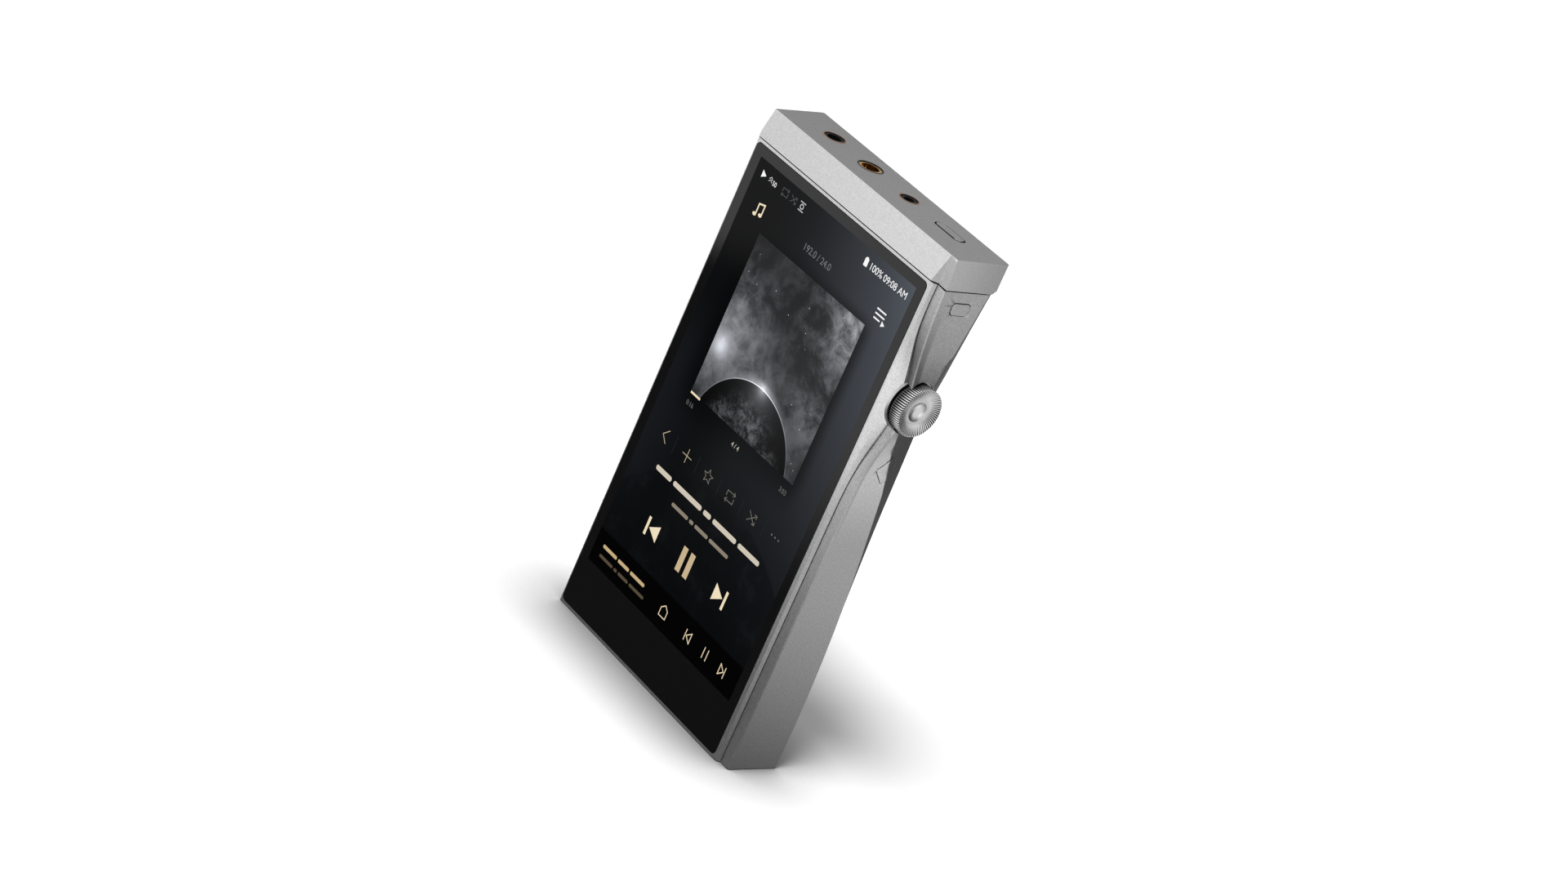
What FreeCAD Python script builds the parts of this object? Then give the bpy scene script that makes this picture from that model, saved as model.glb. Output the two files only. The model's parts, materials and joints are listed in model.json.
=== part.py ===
"""Portable digital audio player, standing on its bottom edge.

A bead-blasted aluminium housing carries a glass-fronted display frame, and takes a removable
converter and amplifier module from above. The module's head is the top cap, with three headphone
jacks and the power key. A knurled volume wheel stands between two guards on the right side.

Millimetres. The origin is the middle of the flat base, +Z is up, +X is to the right as the screen
is read, and the screen faces -Y. Depths are counted from the glass face towards the back.
"""
import FreeCAD, Part
import os

V = FreeCAD.Vector

# ---- driving dimensions -------------------------------------------------------------------------
HALF_WIDTH = 36.3
HEIGHT = 137.0
BODY_DEPTH = 17.0            # glass face to the housing's flat back
BODY_TOP = 129.0             # where the housing ends and the module's head begins
SEAM = 0.3                   # open line between the housing and the module's head
FRONT = -BODY_DEPTH / 2      # row Y of the glass face

WALL = 1.5                   # left wall of the housing
FLOOR = 1.6                  # bottom wall of the housing
KEY_GAP = 0.2                # open line round a key
POWER_SLIT = 0.5             # how much wider that line is along the power key's front and right
KEY_REST_GAP = 0.45          # from a key to the switch behind it

FRAME_LIP = 0.1              # glass face to the frame's front plane
FRAME_EDGE = 31.85           # right edge of the frame's front plane
FRAME_BACK = 2.6             # depth of the frame's back, where the housing starts
RAIL_GAP = 0.12              # open line between the display frame and the housing's rail
EDGE = 0.35                  # chamfer of the long left edge at the front
BACK_EDGE = 0.6              # and at the back

GLASS = (-35.7, 31.6, 0.6, 128.3)          # left, right, bottom, top
GLASS_THICKNESS = 0.8
GLASS_RADIUS = 1.4
PANEL = (-34.0, 30.2, 12.8, 127.2)
PANEL_BACK = 2.4

WHEEL_DEPTH = 5.6            # depth of the wheel's axis
WHEEL_HEIGHT = 100.0
WHEEL_RADIUS = 6.2
WHEEL_FACE = 40.7            # outer end of the wheel
WHEEL_BACK = 36.95           # inner end of the wheel's rim
WHEEL_FLOOR = 36.2           # floor of the pocket behind the wheel
WHEEL_POCKET_RADIUS = 6.65
SHAFT_RADIUS = 1.5
SHAFT_CLEARANCE = 0.03
WHEEL_DISH = 1.0             # how far the wheel's face is dished at the disc in its middle
CAP_RADIUS = 2.4             # that disc
CAP_SEAT = 1.7               # from the wheel's outer end to the back of the disc
CAP_HOLLOW = 0.5             # depth of the polished hollow in the disc

KEY_SEAT = 32.9              # inner face of the right wall where its keys are guided
KEY_FLANGE = 0.6             # thickness of the stop flange behind that wall

BAY_LEFT = -33.5             # the bay that takes the module
BAY_RIGHT = 28.9
CASE = (-33.2, 28.6, 88.0, 131.2)          # the module's case
CASE_FRONT = 3.9
CASE_BACK = 14.9
CAP_CEILING = 135.0          # underside of the head's top wall

JACK_DEPTH = 9.6             # depth of the jack axes
JACK_TOP = HEIGHT - 0.1
# name: (x of the axis, bore radius, neck radius, ring radius, bore length, half width of the body)
JACKS = {
    "3_5": (-22.6, 1.80, 2.55, 2.95, 15.0, 3.5),
    "4_4": (-8.2, 2.25, 2.95, 3.35, 18.0, 3.6),
    "2_5": (6.9, 1.30, 2.25, 2.60, 12.0, 3.3),
}
POWER_KEY = (22.0, 10.1, 8.8, 2.6)         # x, depth, length, width
POWER_KEY_CORNER = 1.15
POWER_KEY_RIM = 1.0          # how far its flange reaches past it
POWER_KEY_FOOT = 133.4
TRACK_KEYS = {"next_key": 78.0, "play_key": 67.0, "previous_key": 56.0}
TRACK_KEY = (9.0, 7.6, 2.6)                # depth, length along the height, width
RELEASE_KEY = (8.0, 124.8, 5.7, 2.85)      # depth, height, length along the depth, width
FUNCTION_KEY = (8.1, 82.65, 3.6, 3.75)     # depth, height, half width, half height

# Right side of the body at each height: the rail and the guards swell towards the wheel.
# height, groove x, frame depth and rail depth at the groove, crest x and depth (front edge of the
# side face), crease x and depth (rear edge of the side face), x of the rear corner
SIDE = (
    (0.0, 33.10, 1.20, 1.45, 36.30, 1.50, 36.30, 16.35, 35.60),
    (40.0, 33.10, 1.20, 1.45, 36.30, 1.50, 36.30, 14.95, 34.30),
    (60.0, 33.10, 1.20, 1.45, 36.30, 1.50, 36.30, 12.65, 33.00),
    (70.0, 33.10, 1.20, 1.45, 36.28, 1.50, 36.28, 11.20, 32.50),
    (76.0, 33.25, 1.25, 1.50, 36.30, 1.55, 36.28, 10.25, 32.30),
    (82.0, 33.75, 1.30, 1.70, 36.75, 1.65, 36.50, 8.55, 32.05),
    (87.0, 34.60, 1.40, 1.95, 37.70, 1.75, 37.10, 6.60, 31.85),
    (92.0, 35.65, 1.52, 2.15, 38.85, 1.85, 38.10, 4.85, 31.70),
    (96.0, 36.30, 1.62, 2.30, 39.30, 1.88, 38.30, 4.70, 31.75),
    (100.0, 36.50, 1.65, 2.30, 39.35, 1.85, 37.50, 7.60, 32.00),
    (105.0, 35.90, 1.60, 2.25, 38.80, 1.75, 36.45, 11.20, 32.55),
    (110.0, 34.90, 1.48, 2.05, 37.85, 1.65, 36.25, 12.20, 33.00),
    (116.0, 33.55, 1.28, 1.70, 37.00, 1.50, 36.25, 13.10, 33.55),
    (122.0, 33.08, 1.20, 1.48, 36.45, 1.35, 36.25, 14.05, 34.15),
    (129.0, 33.07, 1.20, 1.40, 36.20, 1.15, 36.20, 15.10, 34.90),
)
CREST_FLAT = (0.35, 0.2)     # width and depth of the narrow flat between the rail and the side face


# ---- small builders -----------------------------------------------------------------------------
def at(x, depth, z):
    """A point from its x, its depth behind the glass face and its height."""
    return V(x, FRONT + depth, z)


def box(x0, x1, depth0, depth1, z0, z1):
    return Part.makeBox(x1 - x0, depth1 - depth0, z1 - z0, at(x0, depth0, z0))


def prism(points, direction):
    """A polygon of points, extruded along a vector."""
    return Part.Face(Part.makePolygon(points + points[:1])).extrude(direction)


def rod_x(depth, z, radius, x0, x1):
    return Part.makeCylinder(radius, x1 - x0, at(x0, depth, z), V(1, 0, 0))


def rod_z(x, depth, radius, z0, z1):
    return Part.makeCylinder(radius, z1 - z0, at(x, depth, z0), V(0, 0, 1))


def rod_y(x, z, radius, depth0, depth1):
    return Part.makeCylinder(radius, depth1 - depth0, at(x, depth0, z), V(0, 1, 0))


def edges_along(shape, direction, least=0.0):
    """The straight edges of a shape that run along a direction."""
    found = []
    for edge in shape.Edges:
        ends = [v.Point for v in edge.Vertexes]
        if len(ends) == 2 and isinstance(edge.Curve, Part.Line):
            run = ends[1].sub(ends[0])
            if run.Length > least and abs(abs(run.normalize().dot(direction)) - 1) < 1e-6:
                found.append(edge)
    return found


def plate(outline, depth0, depth1, radius):
    """A sheet parallel to the screen, with rounded corners. outline is left, right, bottom, top."""
    left, right, bottom, top = outline
    blank = box(left, right, depth0, depth1, bottom, top)
    return blank.makeFillet(radius, edges_along(blank, V(0, 1, 0)))


def can(x0, x1, depth0, depth1, z0, z1, radius):
    """A block with rounded upright edges, for parts that lie along the height."""
    blank = box(x0, x1, depth0, depth1, z0, z1)
    return blank.makeFillet(radius, edges_along(blank, V(0, 0, 1)))


def pill_x(depth, z, along_depth, along_height, x0, x1, radius):
    """A key shape that is pressed along X: a rectangle with rounded corners."""
    blank = box(x0, x1, depth - along_depth / 2, depth + along_depth / 2,
                z - along_height / 2, z + along_height / 2)
    return blank.makeFillet(radius, edges_along(blank, V(1, 0, 0)))


def pill_z(x, depth, length, width, z0, z1, radius):
    """A key shape that is pressed along Z: a rectangle with rounded corners."""
    blank = box(x - length / 2, x + length / 2, depth - width / 2, depth + width / 2, z0, z1)
    return blank.makeFillet(radius, edges_along(blank, V(0, 0, 1)))


def lozenge_x(depth, z, half_depth, half_height, x0, x1, radius):
    """A rounded lozenge that is pressed along X."""
    corners = [at(x0, depth - half_depth, z), at(x0, depth, z - half_height),
               at(x0, depth + half_depth, z), at(x0, depth, z + half_height)]
    blank = prism(corners, V(x1 - x0, 0, 0))
    return blank.makeFillet(radius, edges_along(blank, V(1, 0, 0)))


def tube_z(x, depth, inner, outer, z0, z1):
    return rod_z(x, depth, outer, z0, z1).cut(rod_z(x, depth, inner, z0 - 1, z1 + 1))


def group(solids):
    return Part.makeCompound(solids)


# ---- the outer form -----------------------------------------------------------------------------
def rail(points):
    """A smooth edge through points, with height as its parameter. A straight one is a line."""
    first, last = points[0], points[-1]
    run = last.sub(first)
    if all(p.sub(first).cross(run).Length < 1e-6 for p in points):
        return Part.LineSegment(first, last).toShape()
    curve = Part.BSplineCurve()
    curve.interpolate(Points=points, Parameters=[p.z for p in points])
    return curve.toShape()


def strip(edge_a, edge_b):
    """The face between two rails: flat where it can be, or else ruled."""
    if all(isinstance(e.Curve, Part.Line) for e in (edge_a, edge_b)):
        corners = [e.valueAt(t) for e in (edge_a, edge_b) for t in e.ParameterRange]
        corners[2], corners[3] = corners[3], corners[2]
        return Part.Face(Part.makePolygon(corners + corners[:1]))
    return Part.makeRuledSurface(edge_a, edge_b)


def skin(rails):
    """The solid whose upright edges are the rails, in order round its section."""
    edges = [rail(points) for points in rails]
    faces = [strip(a, b) for a, b in zip(edges, edges[1:] + edges[:1])]
    for end in (0, -1):
        corners = [points[end] for points in rails]
        faces.append(Part.Face(Part.makePolygon(corners + corners[:1])))
    shell = Part.Shell(faces)
    shell.sewShape()
    solid = Part.Solid(shell)
    if solid.Volume < 0:
        solid.reverse()
    return solid


def upright(x, depth):
    """The points of a straight rail from the base to the top of the body."""
    return [at(x, depth, row[0]) for row in SIDE]


def frame_form():
    """The display frame as a full block. Its right edge is rounded, and slopes evenly at the wheel."""
    least = min(row[1] for row in SIDE)
    swell = max(row[1] for row in SIDE) - least
    shoulder = [at(FRAME_EDGE + 0.62 * (g - FRAME_EDGE),
                   FRAME_LIP + f * (0.22 + 0.33 * (g - least) / swell), z) for z, g, f, *rest in SIDE]
    return skin([
        upright(-HALF_WIDTH, FRAME_BACK),
        upright(-HALF_WIDTH, FRAME_LIP + EDGE),
        upright(-HALF_WIDTH + EDGE, FRAME_LIP),
        upright(FRAME_EDGE, FRAME_LIP),
        shoulder,
        [at(g, f, z) for z, g, f, *rest in SIDE],
        [at(g, FRAME_BACK, z) for z, g, *rest in SIDE],
    ])


def housing_form():
    """The housing as a full block, with its rail, side face and rear facet."""
    flat_width, flat_depth = CREST_FLAT
    return skin([
        upright(-HALF_WIDTH, FRAME_BACK),
        [at(row[1] + RAIL_GAP, FRAME_BACK, row[0]) for row in SIDE],
        [at(row[1] + RAIL_GAP, row[3], row[0]) for row in SIDE],
        [at(row[4] - flat_width, row[5] - flat_depth, row[0]) for row in SIDE],
        [at(row[4], row[5], row[0]) for row in SIDE],
        [at(row[6], row[7], row[0]) for row in SIDE],
        [at(row[8], BODY_DEPTH, row[0]) for row in SIDE],
        upright(-HALF_WIDTH + BACK_EDGE, BODY_DEPTH),
        upright(-HALF_WIDTH, BODY_DEPTH - BACK_EDGE),
    ])


HOUSING_FORM = housing_form()


def skin_shifted(amount):
    """The housing's form moved out along X, to trim keys that stand proud by that amount."""
    return HOUSING_FORM.translated(V(amount, 0, 0))


# ---- openings in the housing --------------------------------------------------------------------
def function_hole(x0, x1, gap):
    depth, height, half_depth, half_height = FUNCTION_KEY
    return lozenge_x(depth, height, half_depth + gap, half_height + gap, x0, x1, 0.7 + gap / 2)


def release_hole(x0, x1, gap):
    depth, height, length, width = RELEASE_KEY
    return pill_x(depth, height, length + 2 * gap, width + 2 * gap, x0, x1, 1.1 + gap)


def track_hole(height, x0, x1, gap):
    depth, length, width = TRACK_KEY
    return pill_x(depth, height, width + 2 * gap, length + 2 * gap, x0, x1, 1.0 + gap)


def wheel_ring_seat(x0, x1, clearance):
    ring = rod_x(WHEEL_DEPTH, WHEEL_HEIGHT, 6.45 + clearance, x0, x1)
    return ring.cut(rod_x(WHEEL_DEPTH, WHEEL_HEIGHT, 4.9 - clearance, x0 - 1, x1 + 1))


USB_AXIS = (-12.0, 9.6)      # x and depth
CARD_AXIS = (18.0, 10.3)


def usb_outline(half_width, half_height, z0, z1):
    x, depth = USB_AXIS
    return can(x - half_width, x + half_width, depth - half_height, depth + half_height,
               z0, z1, half_height - 0.02)


# ---- housing and display ------------------------------------------------------------------------
CHASSIS_SCREWS = ((-31.5, 5.0), (-31.5, 80.0), (30.0, 5.0), (30.0, 80.0))    # x and height
COVER_STUDS = ((-29.5, 8.0), (24.5, 8.0), (-29.5, 80.5), (24.5, 80.5))


def housing_shell():
    inside = prism([at(-HALF_WIDTH + WALL, FRAME_BACK - 1, FLOOR), at(KEY_SEAT, FRAME_BACK - 1, FLOOR),
                    at(KEY_SEAT, 9.5, FLOOR), at(29.6, 15.4, FLOOR),
                    at(-HALF_WIDTH + WALL, 15.4, FLOOR)], V(0, 0, BODY_TOP))
    shell = HOUSING_FORM.cut(inside)
    cuts = [
        box(-32.6, 27.5, 14.0, 18.0, 4.5, 124.0),
        rod_x(WHEEL_DEPTH, WHEEL_HEIGHT, WHEEL_POCKET_RADIUS, WHEEL_FLOOR, 45.0),
        wheel_ring_seat(WHEEL_FLOOR - 0.3, WHEEL_FLOOR + 1, 0.02),
        rod_x(WHEEL_DEPTH, WHEEL_HEIGHT, 2.6, 32.0, 38.0),
        function_hole(32.0, 42.0, KEY_GAP),
        release_hole(32.0, 42.0, KEY_GAP),
        usb_outline(4.55, 1.7, -1.0, 3.0),
        box(CARD_AXIS[0] - 6.0, CARD_AXIS[0] + 6.0, CARD_AXIS[1] - 0.6, CARD_AXIS[1] + 0.6, -1.0, 3.0),
    ]
    cuts += [track_hole(height, -40.0, -33.0, KEY_GAP) for height in TRACK_KEYS.values()]
    return shell.cut(cuts)


def display_frame():
    left, right, bottom, top = GLASS
    seat = plate((left, right, bottom, top), -1.0, GLASS_THICKNESS, GLASS_RADIUS)
    left, right, bottom, top = PANEL
    window = box(left, right, -1.0, FRAME_BACK + 1, bottom, top)
    ribbon = box(13.5, 26.5, PANEL_BACK - 0.2, FRAME_BACK + 1, 8.5, bottom + 1)
    ring = wheel_ring_seat(WHEEL_FLOOR - 0.3, WHEEL_FACE, 0.02)
    return frame_form().cut([seat, window, ribbon, ring])


def cover_glass():
    glass = plate(GLASS, 0.0, GLASS_THICKNESS, GLASS_RADIUS)
    rim = [e for e in glass.Edges if all(abs(v.Point.y - FRONT) < 1e-6 for v in e.Vertexes)]
    return glass.makeChamfer(0.18, rim)


def display_panel():
    left, right, bottom, top = PANEL
    return box(left, right, GLASS_THICKNESS, PANEL_BACK, bottom, top)


def display_flex():
    """A folded ribbon from the back of the panel, through the mid plate, to the main board."""
    sheet = 0.2
    path = [(PANEL_BACK, 14.0), (PANEL_BACK, 9.0), (3.9, 9.0), (3.9, 24.0), (6.0, 24.0)]
    runs = [
        box(14.0, 26.0, path[0][0], path[0][0] + sheet - 0.02, path[1][1], path[0][1]),
        box(14.0, 26.0, path[0][0], path[2][0], path[1][1] - sheet, path[1][1]),
        box(14.0, 26.0, path[2][0] - sheet, path[2][0], path[1][1], path[3][1]),
        box(14.0, 26.0, path[2][0] - sheet, path[4][0], path[3][1], path[3][1] + sheet),
    ]
    return runs[0].fuse(runs[1:]).removeSplitter()


def mid_plate():
    """The tray behind the display that ties the frame to the housing."""
    sheet = plate((-34.6, 32.2, 2.0, 128.4), FRAME_BACK, 3.3, 2.0)
    slot = box(13.0, 27.0, FRAME_BACK - 1, 4.0, 8.0, 14.5)
    lightening = [plate((x, x + 15.0, z, z + 10.0), 2.0, 4.0, 2.0)
                  for x in (-30.0, -8.0, 12.0) for z in (92.0, 108.0)]
    holes = [rod_y(x, z, 0.9, 2.0, 4.0) for x, z in CHASSIS_SCREWS]
    return sheet.cut([slot] + lightening + holes)


def chassis_screws():
    """Screws through the mid plate, with their heads on its back."""
    return group([rod_y(x, z, 0.85, 2.75, 5.0).fuse(rod_y(x, z, 1.5, 3.3, 3.75))
                  for x, z in CHASSIS_SCREWS])


def rear_cover():
    """A raised panel with a shallow faceted crown, set into the window in the housing's back."""
    lip = box(-32.5, 27.4, 15.4, BODY_DEPTH, 4.6, 123.9)
    base = [at(-33.4, BODY_DEPTH, 2.6), at(29.4, BODY_DEPTH, 2.6),
            at(29.4, BODY_DEPTH, 126.4), at(-33.4, BODY_DEPTH, 126.4)]
    crown = [at(-27.0, BODY_DEPTH + 1.6, 12.0), at(22.0, BODY_DEPTH + 1.6, 12.0),
             at(22.0, BODY_DEPTH + 1.6, 117.0), at(-27.0, BODY_DEPTH + 1.6, 117.0)]
    rim = [p + V(0, 0.35, 0) for p in base]
    outlines = [Part.makePolygon(points + points[:1]) for points in (base, rim, crown)]
    return lip.fuse([Part.makeLoft(outlines[:2], True, True),
                     Part.makeLoft(outlines[1:], True, True)]).removeSplitter()


def rear_cover_studs():
    """Short locating studs on the inside of the rear cover."""
    return group([rod_y(x, z, 0.9, 14.6, 15.4) for x, z in COVER_STUDS])


# ---- boards, battery and connectors -------------------------------------------------------------
BOARD_FRONT = 6.0
BOARD_BACK = 6.9


def main_board():
    """An L-shaped board: across the middle, and down the right of the battery."""
    across = box(-32.0, 31.4, BOARD_FRONT, BOARD_BACK, 60.0, 84.0)
    down = box(10.5, 31.4, BOARD_FRONT, BOARD_BACK, 21.0, 60.0)
    return across.fuse(down).removeSplitter()


def processor_shield():
    outside = can(-20.0, 2.0, BOARD_BACK, 9.2, 62.5, 80.5, 0.8)
    return outside.cut(box(-19.7, 1.7, BOARD_BACK - 1, 8.9, 62.8, 80.2))


def processor_chips():
    return group([box(-15.0, -3.0, BOARD_BACK, 8.2, 66.0, 78.0), box(5.0, 16.0, BOARD_BACK, 8.0, 64.0, 78.0),
                  box(18.0, 25.0, BOARD_BACK, 7.8, 66.0, 73.0), box(13.0, 19.0, BOARD_BACK, 7.8, 40.0, 46.0)])


def battery():
    return can(-31.8, 9.5, 4.0, 14.6, 12.5, 58.0, 2.2)


def battery_lead():
    """The cell's protection board and its plug on the main board."""
    strap = box(-28.0, -22.0, BOARD_BACK, 7.3, 58.0, 64.0)
    plug = box(-28.5, -21.5, BOARD_BACK, 8.4, 62.0, 65.0)
    return strap.fuse(plug).removeSplitter()


def io_board():
    """The small board along the bottom that carries the charging port and the card socket."""
    low = box(-24.0, 28.0, 11.9, 12.7, 2.2, 11.5)
    tall = box(10.0, 28.0, 11.9, 12.7, 11.5, 18.5)
    return low.fuse(tall).removeSplitter()


def usb_receptacle():
    shell = usb_outline(4.47, 1.62, 0.0, 7.4).cut(usb_outline(4.17, 1.32, -1.0, 6.9))
    x = USB_AXIS[0]
    legs = [box(x + side - 0.4, x + side + 0.4, USB_AXIS[1] + 1.55, 11.9, 3.4, 5.2) for side in (-2.8, 2.8)]
    return shell.fuse(legs).removeSplitter()


def usb_tongue():
    x, depth = USB_AXIS
    return can(x - 3.3, x + 3.3, depth - 0.35, depth + 0.35, 0.9, 6.9, 0.3)


def card_socket():
    """A push-in socket for a memory card. The slot in the base leads into it."""
    x, depth = CARD_AXIS
    body = box(x - 7.2, x + 7.2, depth - 1.0, 11.9, 1.7, 17.2)
    return body.cut(box(x - 5.7, x + 5.7, depth - 0.5, depth + 0.5, 0.0, 16.2))


def module_socket():
    """The main board's half of the module connector, open upwards."""
    body = can(-13.0, 7.0, 7.4, 11.4, 80.6, 87.4, 0.5)
    mouth = box(-11.6, 5.6, 8.5, 10.3, 83.0, 90.0)
    foot = box(-12.0, 6.0, BOARD_BACK, 7.5, 80.8, 83.6)
    return body.cut(mouth).fuse(foot).removeSplitter()


def module_guide():
    """A slim runner on the left wall that keeps the module's case in line."""
    return box(-34.8, -33.5, 8.0, 10.0, 86.0, 127.0)


def bay_divider():
    """The plate between the module's bay and the wheel's drive, with a hole for the latch."""
    sheet = box(BAY_RIGHT, 29.7, 3.3, 14.6, 85.0, 128.4)
    return sheet.cut(box(28.0, 31.0, 6.4, 9.8, 123.4, 126.2))


# ---- keys and the switches behind them ----------------------------------------------------------
def track_key(height):
    """A key in the left wall: a rounded face, a stem through the wall and a flange inside it."""
    stem = track_hole(height, -HALF_WIDTH - 0.45, -34.6, 0.0)
    outer = [e for e in stem.Edges if all(abs(v.Point.x + HALF_WIDTH + 0.45) < 1e-6 for v in e.Vertexes)]
    stem = stem.makeChamfer(0.2, outer)
    depth, length, width = TRACK_KEY
    flange = box(-34.65, -34.3, depth - width / 2 - 0.5, depth + width / 2 + 0.5,
                 height - length / 2 - 0.6, height + length / 2 + 0.6)
    return stem.fuse(flange).removeSplitter()


def track_switch_board():
    return box(-32.95, -32.4, 6.8, 11.2, 51.0, 83.0)


def track_switches():
    """One small push switch behind each key on the left."""
    tip = -34.3 + KEY_REST_GAP
    return group([box(-33.4, -32.95, 7.4, 10.6, z - 1.6, z + 1.6).fuse(rod_x(9.0, z, 0.7, tip, -33.3))
                  for z in TRACK_KEYS.values()])


def function_key():
    """A flush lozenge that follows both faces of the side, with a stop flange inside the wall."""
    body = function_hole(KEY_SEAT, 42.0, 0.0).common(skin_shifted(0.12))
    depth, height, half_depth, half_height = FUNCTION_KEY
    flange = box(KEY_SEAT - KEY_FLANGE, KEY_SEAT, depth - half_depth - 0.3, 9.3,
                 height - half_height - 0.5, height + half_height + 0.5)
    return body.fuse(flange).removeSplitter()


def function_switch():
    depth, height, *rest = FUNCTION_KEY
    tip = KEY_SEAT - KEY_FLANGE - KEY_REST_GAP
    body = box(29.9, 31.2, BOARD_BACK, depth + 1.6, height - 1.8, height + 1.3)
    return body.fuse(rod_x(depth, height, 0.8, 31.1, tip)).removeSplitter()


def release_key():
    """The key in the upper side, with a stop flange inside the wall."""
    depth, height, length, width = RELEASE_KEY
    body = release_hole(KEY_SEAT, 42.0, 0.0).common(skin_shifted(0.15))
    flange = box(KEY_SEAT - KEY_FLANGE, KEY_SEAT, depth - length / 2 - 0.5, 9.4,
                 height - width / 2 - 0.7, height + width / 2 + 0.7)
    return body.fuse(flange).removeSplitter()


def release_latch():
    """The arm behind the release key, whose tooth stands in the groove of the module's case."""
    depth, height, *rest = RELEASE_KEY
    seat = KEY_SEAT - KEY_FLANGE
    foot = box(seat - 0.7, seat, depth - 1.4, 9.3, height - 1.3, height + 1.3)
    arm = box(27.9, seat - 0.7, depth - 1.0, depth + 1.0, height - 0.7, height + 0.7)
    return foot.fuse(arm).removeSplitter()


# ---- volume wheel -------------------------------------------------------------------------------
def turned(profile):
    """A solid turned about the wheel's axis from (x, radius) points."""
    points = [at(x, WHEEL_DEPTH, WHEEL_HEIGHT + r) for x, r in profile]
    face = Part.Face(Part.makePolygon(points + points[:1]))
    return face.revolve(at(0, WHEEL_DEPTH, WHEEL_HEIGHT), V(1, 0, 0), 360)


def wheel_rim():
    """The knurled ring, dished towards the polished cap in its middle."""
    edge = 0.35
    return turned([
        (WHEEL_BACK, SHAFT_RADIUS + 0.02), (WHEEL_BACK, WHEEL_RADIUS - edge), (WHEEL_BACK + edge, WHEEL_RADIUS),
        (WHEEL_FACE - edge, WHEEL_RADIUS), (WHEEL_FACE, WHEEL_RADIUS - edge), (WHEEL_FACE - 0.05, 5.6),
        (WHEEL_FACE - 0.75, 3.6), (WHEEL_FACE - WHEEL_DISH, CAP_RADIUS), (WHEEL_FACE - CAP_SEAT, CAP_RADIUS),
        (WHEEL_FACE - CAP_SEAT, SHAFT_RADIUS + 0.02),
    ])


def wheel_cap():
    """The disc in the middle of the wheel, with a polished hollow in its face."""
    face = WHEEL_FACE - WHEEL_DISH
    radius = (CAP_RADIUS ** 2 + CAP_HOLLOW ** 2) / (2 * CAP_HOLLOW)
    ball = Part.makeSphere(radius, at(face - CAP_HOLLOW + radius, WHEEL_DEPTH, WHEEL_HEIGHT))
    return rod_x(WHEEL_DEPTH, WHEEL_HEIGHT, CAP_RADIUS, WHEEL_FACE - CAP_SEAT, face).cut(ball)


def wheel_shaft():
    """The stepped spindle that carries the wheel through its bushing to the encoder."""
    return rod_x(WHEEL_DEPTH, WHEEL_HEIGHT, SHAFT_RADIUS, 30.3, WHEEL_FACE - CAP_SEAT).cut(
        box(29.0, 31.2, WHEEL_DEPTH + 0.9, WHEEL_DEPTH + 3.0, 97.0, 103.0))


def wheel_bushing():
    bore = SHAFT_RADIUS + SHAFT_CLEARANCE
    sleeve = rod_x(WHEEL_DEPTH, WHEEL_HEIGHT, 2.58, 32.4, WHEEL_FLOOR + 0.3)
    return sleeve.cut(rod_x(WHEEL_DEPTH, WHEEL_HEIGHT, bore, 30.0, 40.0))


def wheel_light_ring():
    """The light guide round the foot of the wheel."""
    return wheel_ring_seat(WHEEL_FLOOR - 0.3, WHEEL_FLOOR + 0.4, 0.0)


def wheel_encoder():
    """The rotary encoder: a square body with a clear hole for the spindle, and its solder lugs."""
    body = box(30.0, 32.4, 3.4, 9.6, 95.0, 105.0)
    body = body.cut(rod_x(WHEEL_DEPTH, WHEEL_HEIGHT, SHAFT_RADIUS + 0.06, 29.0, 34.0))
    lugs = [box(30.4, 31.0, 9.6, 11.0, z, z + 0.8) for z in (96.5, 99.6, 102.7)]
    return body.fuse(lugs).removeSplitter()


# ---- the removable module -----------------------------------------------------------------------
def half_space(point, normal):
    """A large block that starts at a plane and reaches along its normal."""
    size = 200.0
    slab = Part.makeBox(size, size, size, V(-size / 2, -size / 2, 0))
    slab.Placement = FreeCAD.Placement(point, FreeCAD.Rotation(V(0, 0, 1), normal))
    return slab


def plane_through(a, b, c, towards):
    """The half space beyond the plane of three points, on the side of a fourth."""
    normal = b.sub(a).cross(c.sub(a)).normalize()
    if normal.dot(towards.sub(a)) < 0:
        normal = normal.negative()
    return half_space(a, normal)


def cap_form():
    """The module's head: a block with a leaning front, cut at both ends of it towards the top."""
    base = BODY_TOP + SEAM
    lean = 0.5
    block = prism([at(-HALF_WIDTH, EDGE, base), at(-HALF_WIDTH + EDGE, 0.0, base), at(HALF_WIDTH, 0.0, base),
                   at(HALF_WIDTH, BODY_DEPTH - EDGE, base), at(HALF_WIDTH - EDGE, BODY_DEPTH, base),
                   at(-HALF_WIDTH + EDGE, BODY_DEPTH, base), at(-HALF_WIDTH, BODY_DEPTH - EDGE, base)],
                  V(0, 0, HEIGHT - base))
    front = plane_through(at(0, 0, base), at(10, 0, base), at(0, lean, HEIGHT), at(0, -10, HEIGHT))
    apex = at(34.0, lean, HEIGHT)
    rail_cut = plane_through(apex, at(HALF_WIDTH, 1.2, base), at(33.1, 1.35, base), at(36, -10, base))
    facet_cut = plane_through(apex, at(FRAME_EDGE, 0.0, base), at(33.0, 1.35, base), at(60, 0, base))
    left_cut = plane_through(at(-HALF_WIDTH, 0.0, base), at(-HALF_WIDTH + 1.4, lean, HEIGHT),
                             at(-HALF_WIDTH, BODY_DEPTH, HEIGHT), at(-60, 0, HEIGHT))
    chamfer = prism([at(50, BODY_DEPTH - 1.3, base), at(50, BODY_DEPTH + 1, base),
                     at(50, BODY_DEPTH + 1, base + 1.3 + 1.0)], V(-100, 0, 0))
    return block.cut([front, rail_cut.common(facet_cut), left_cut, chamfer])


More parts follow.
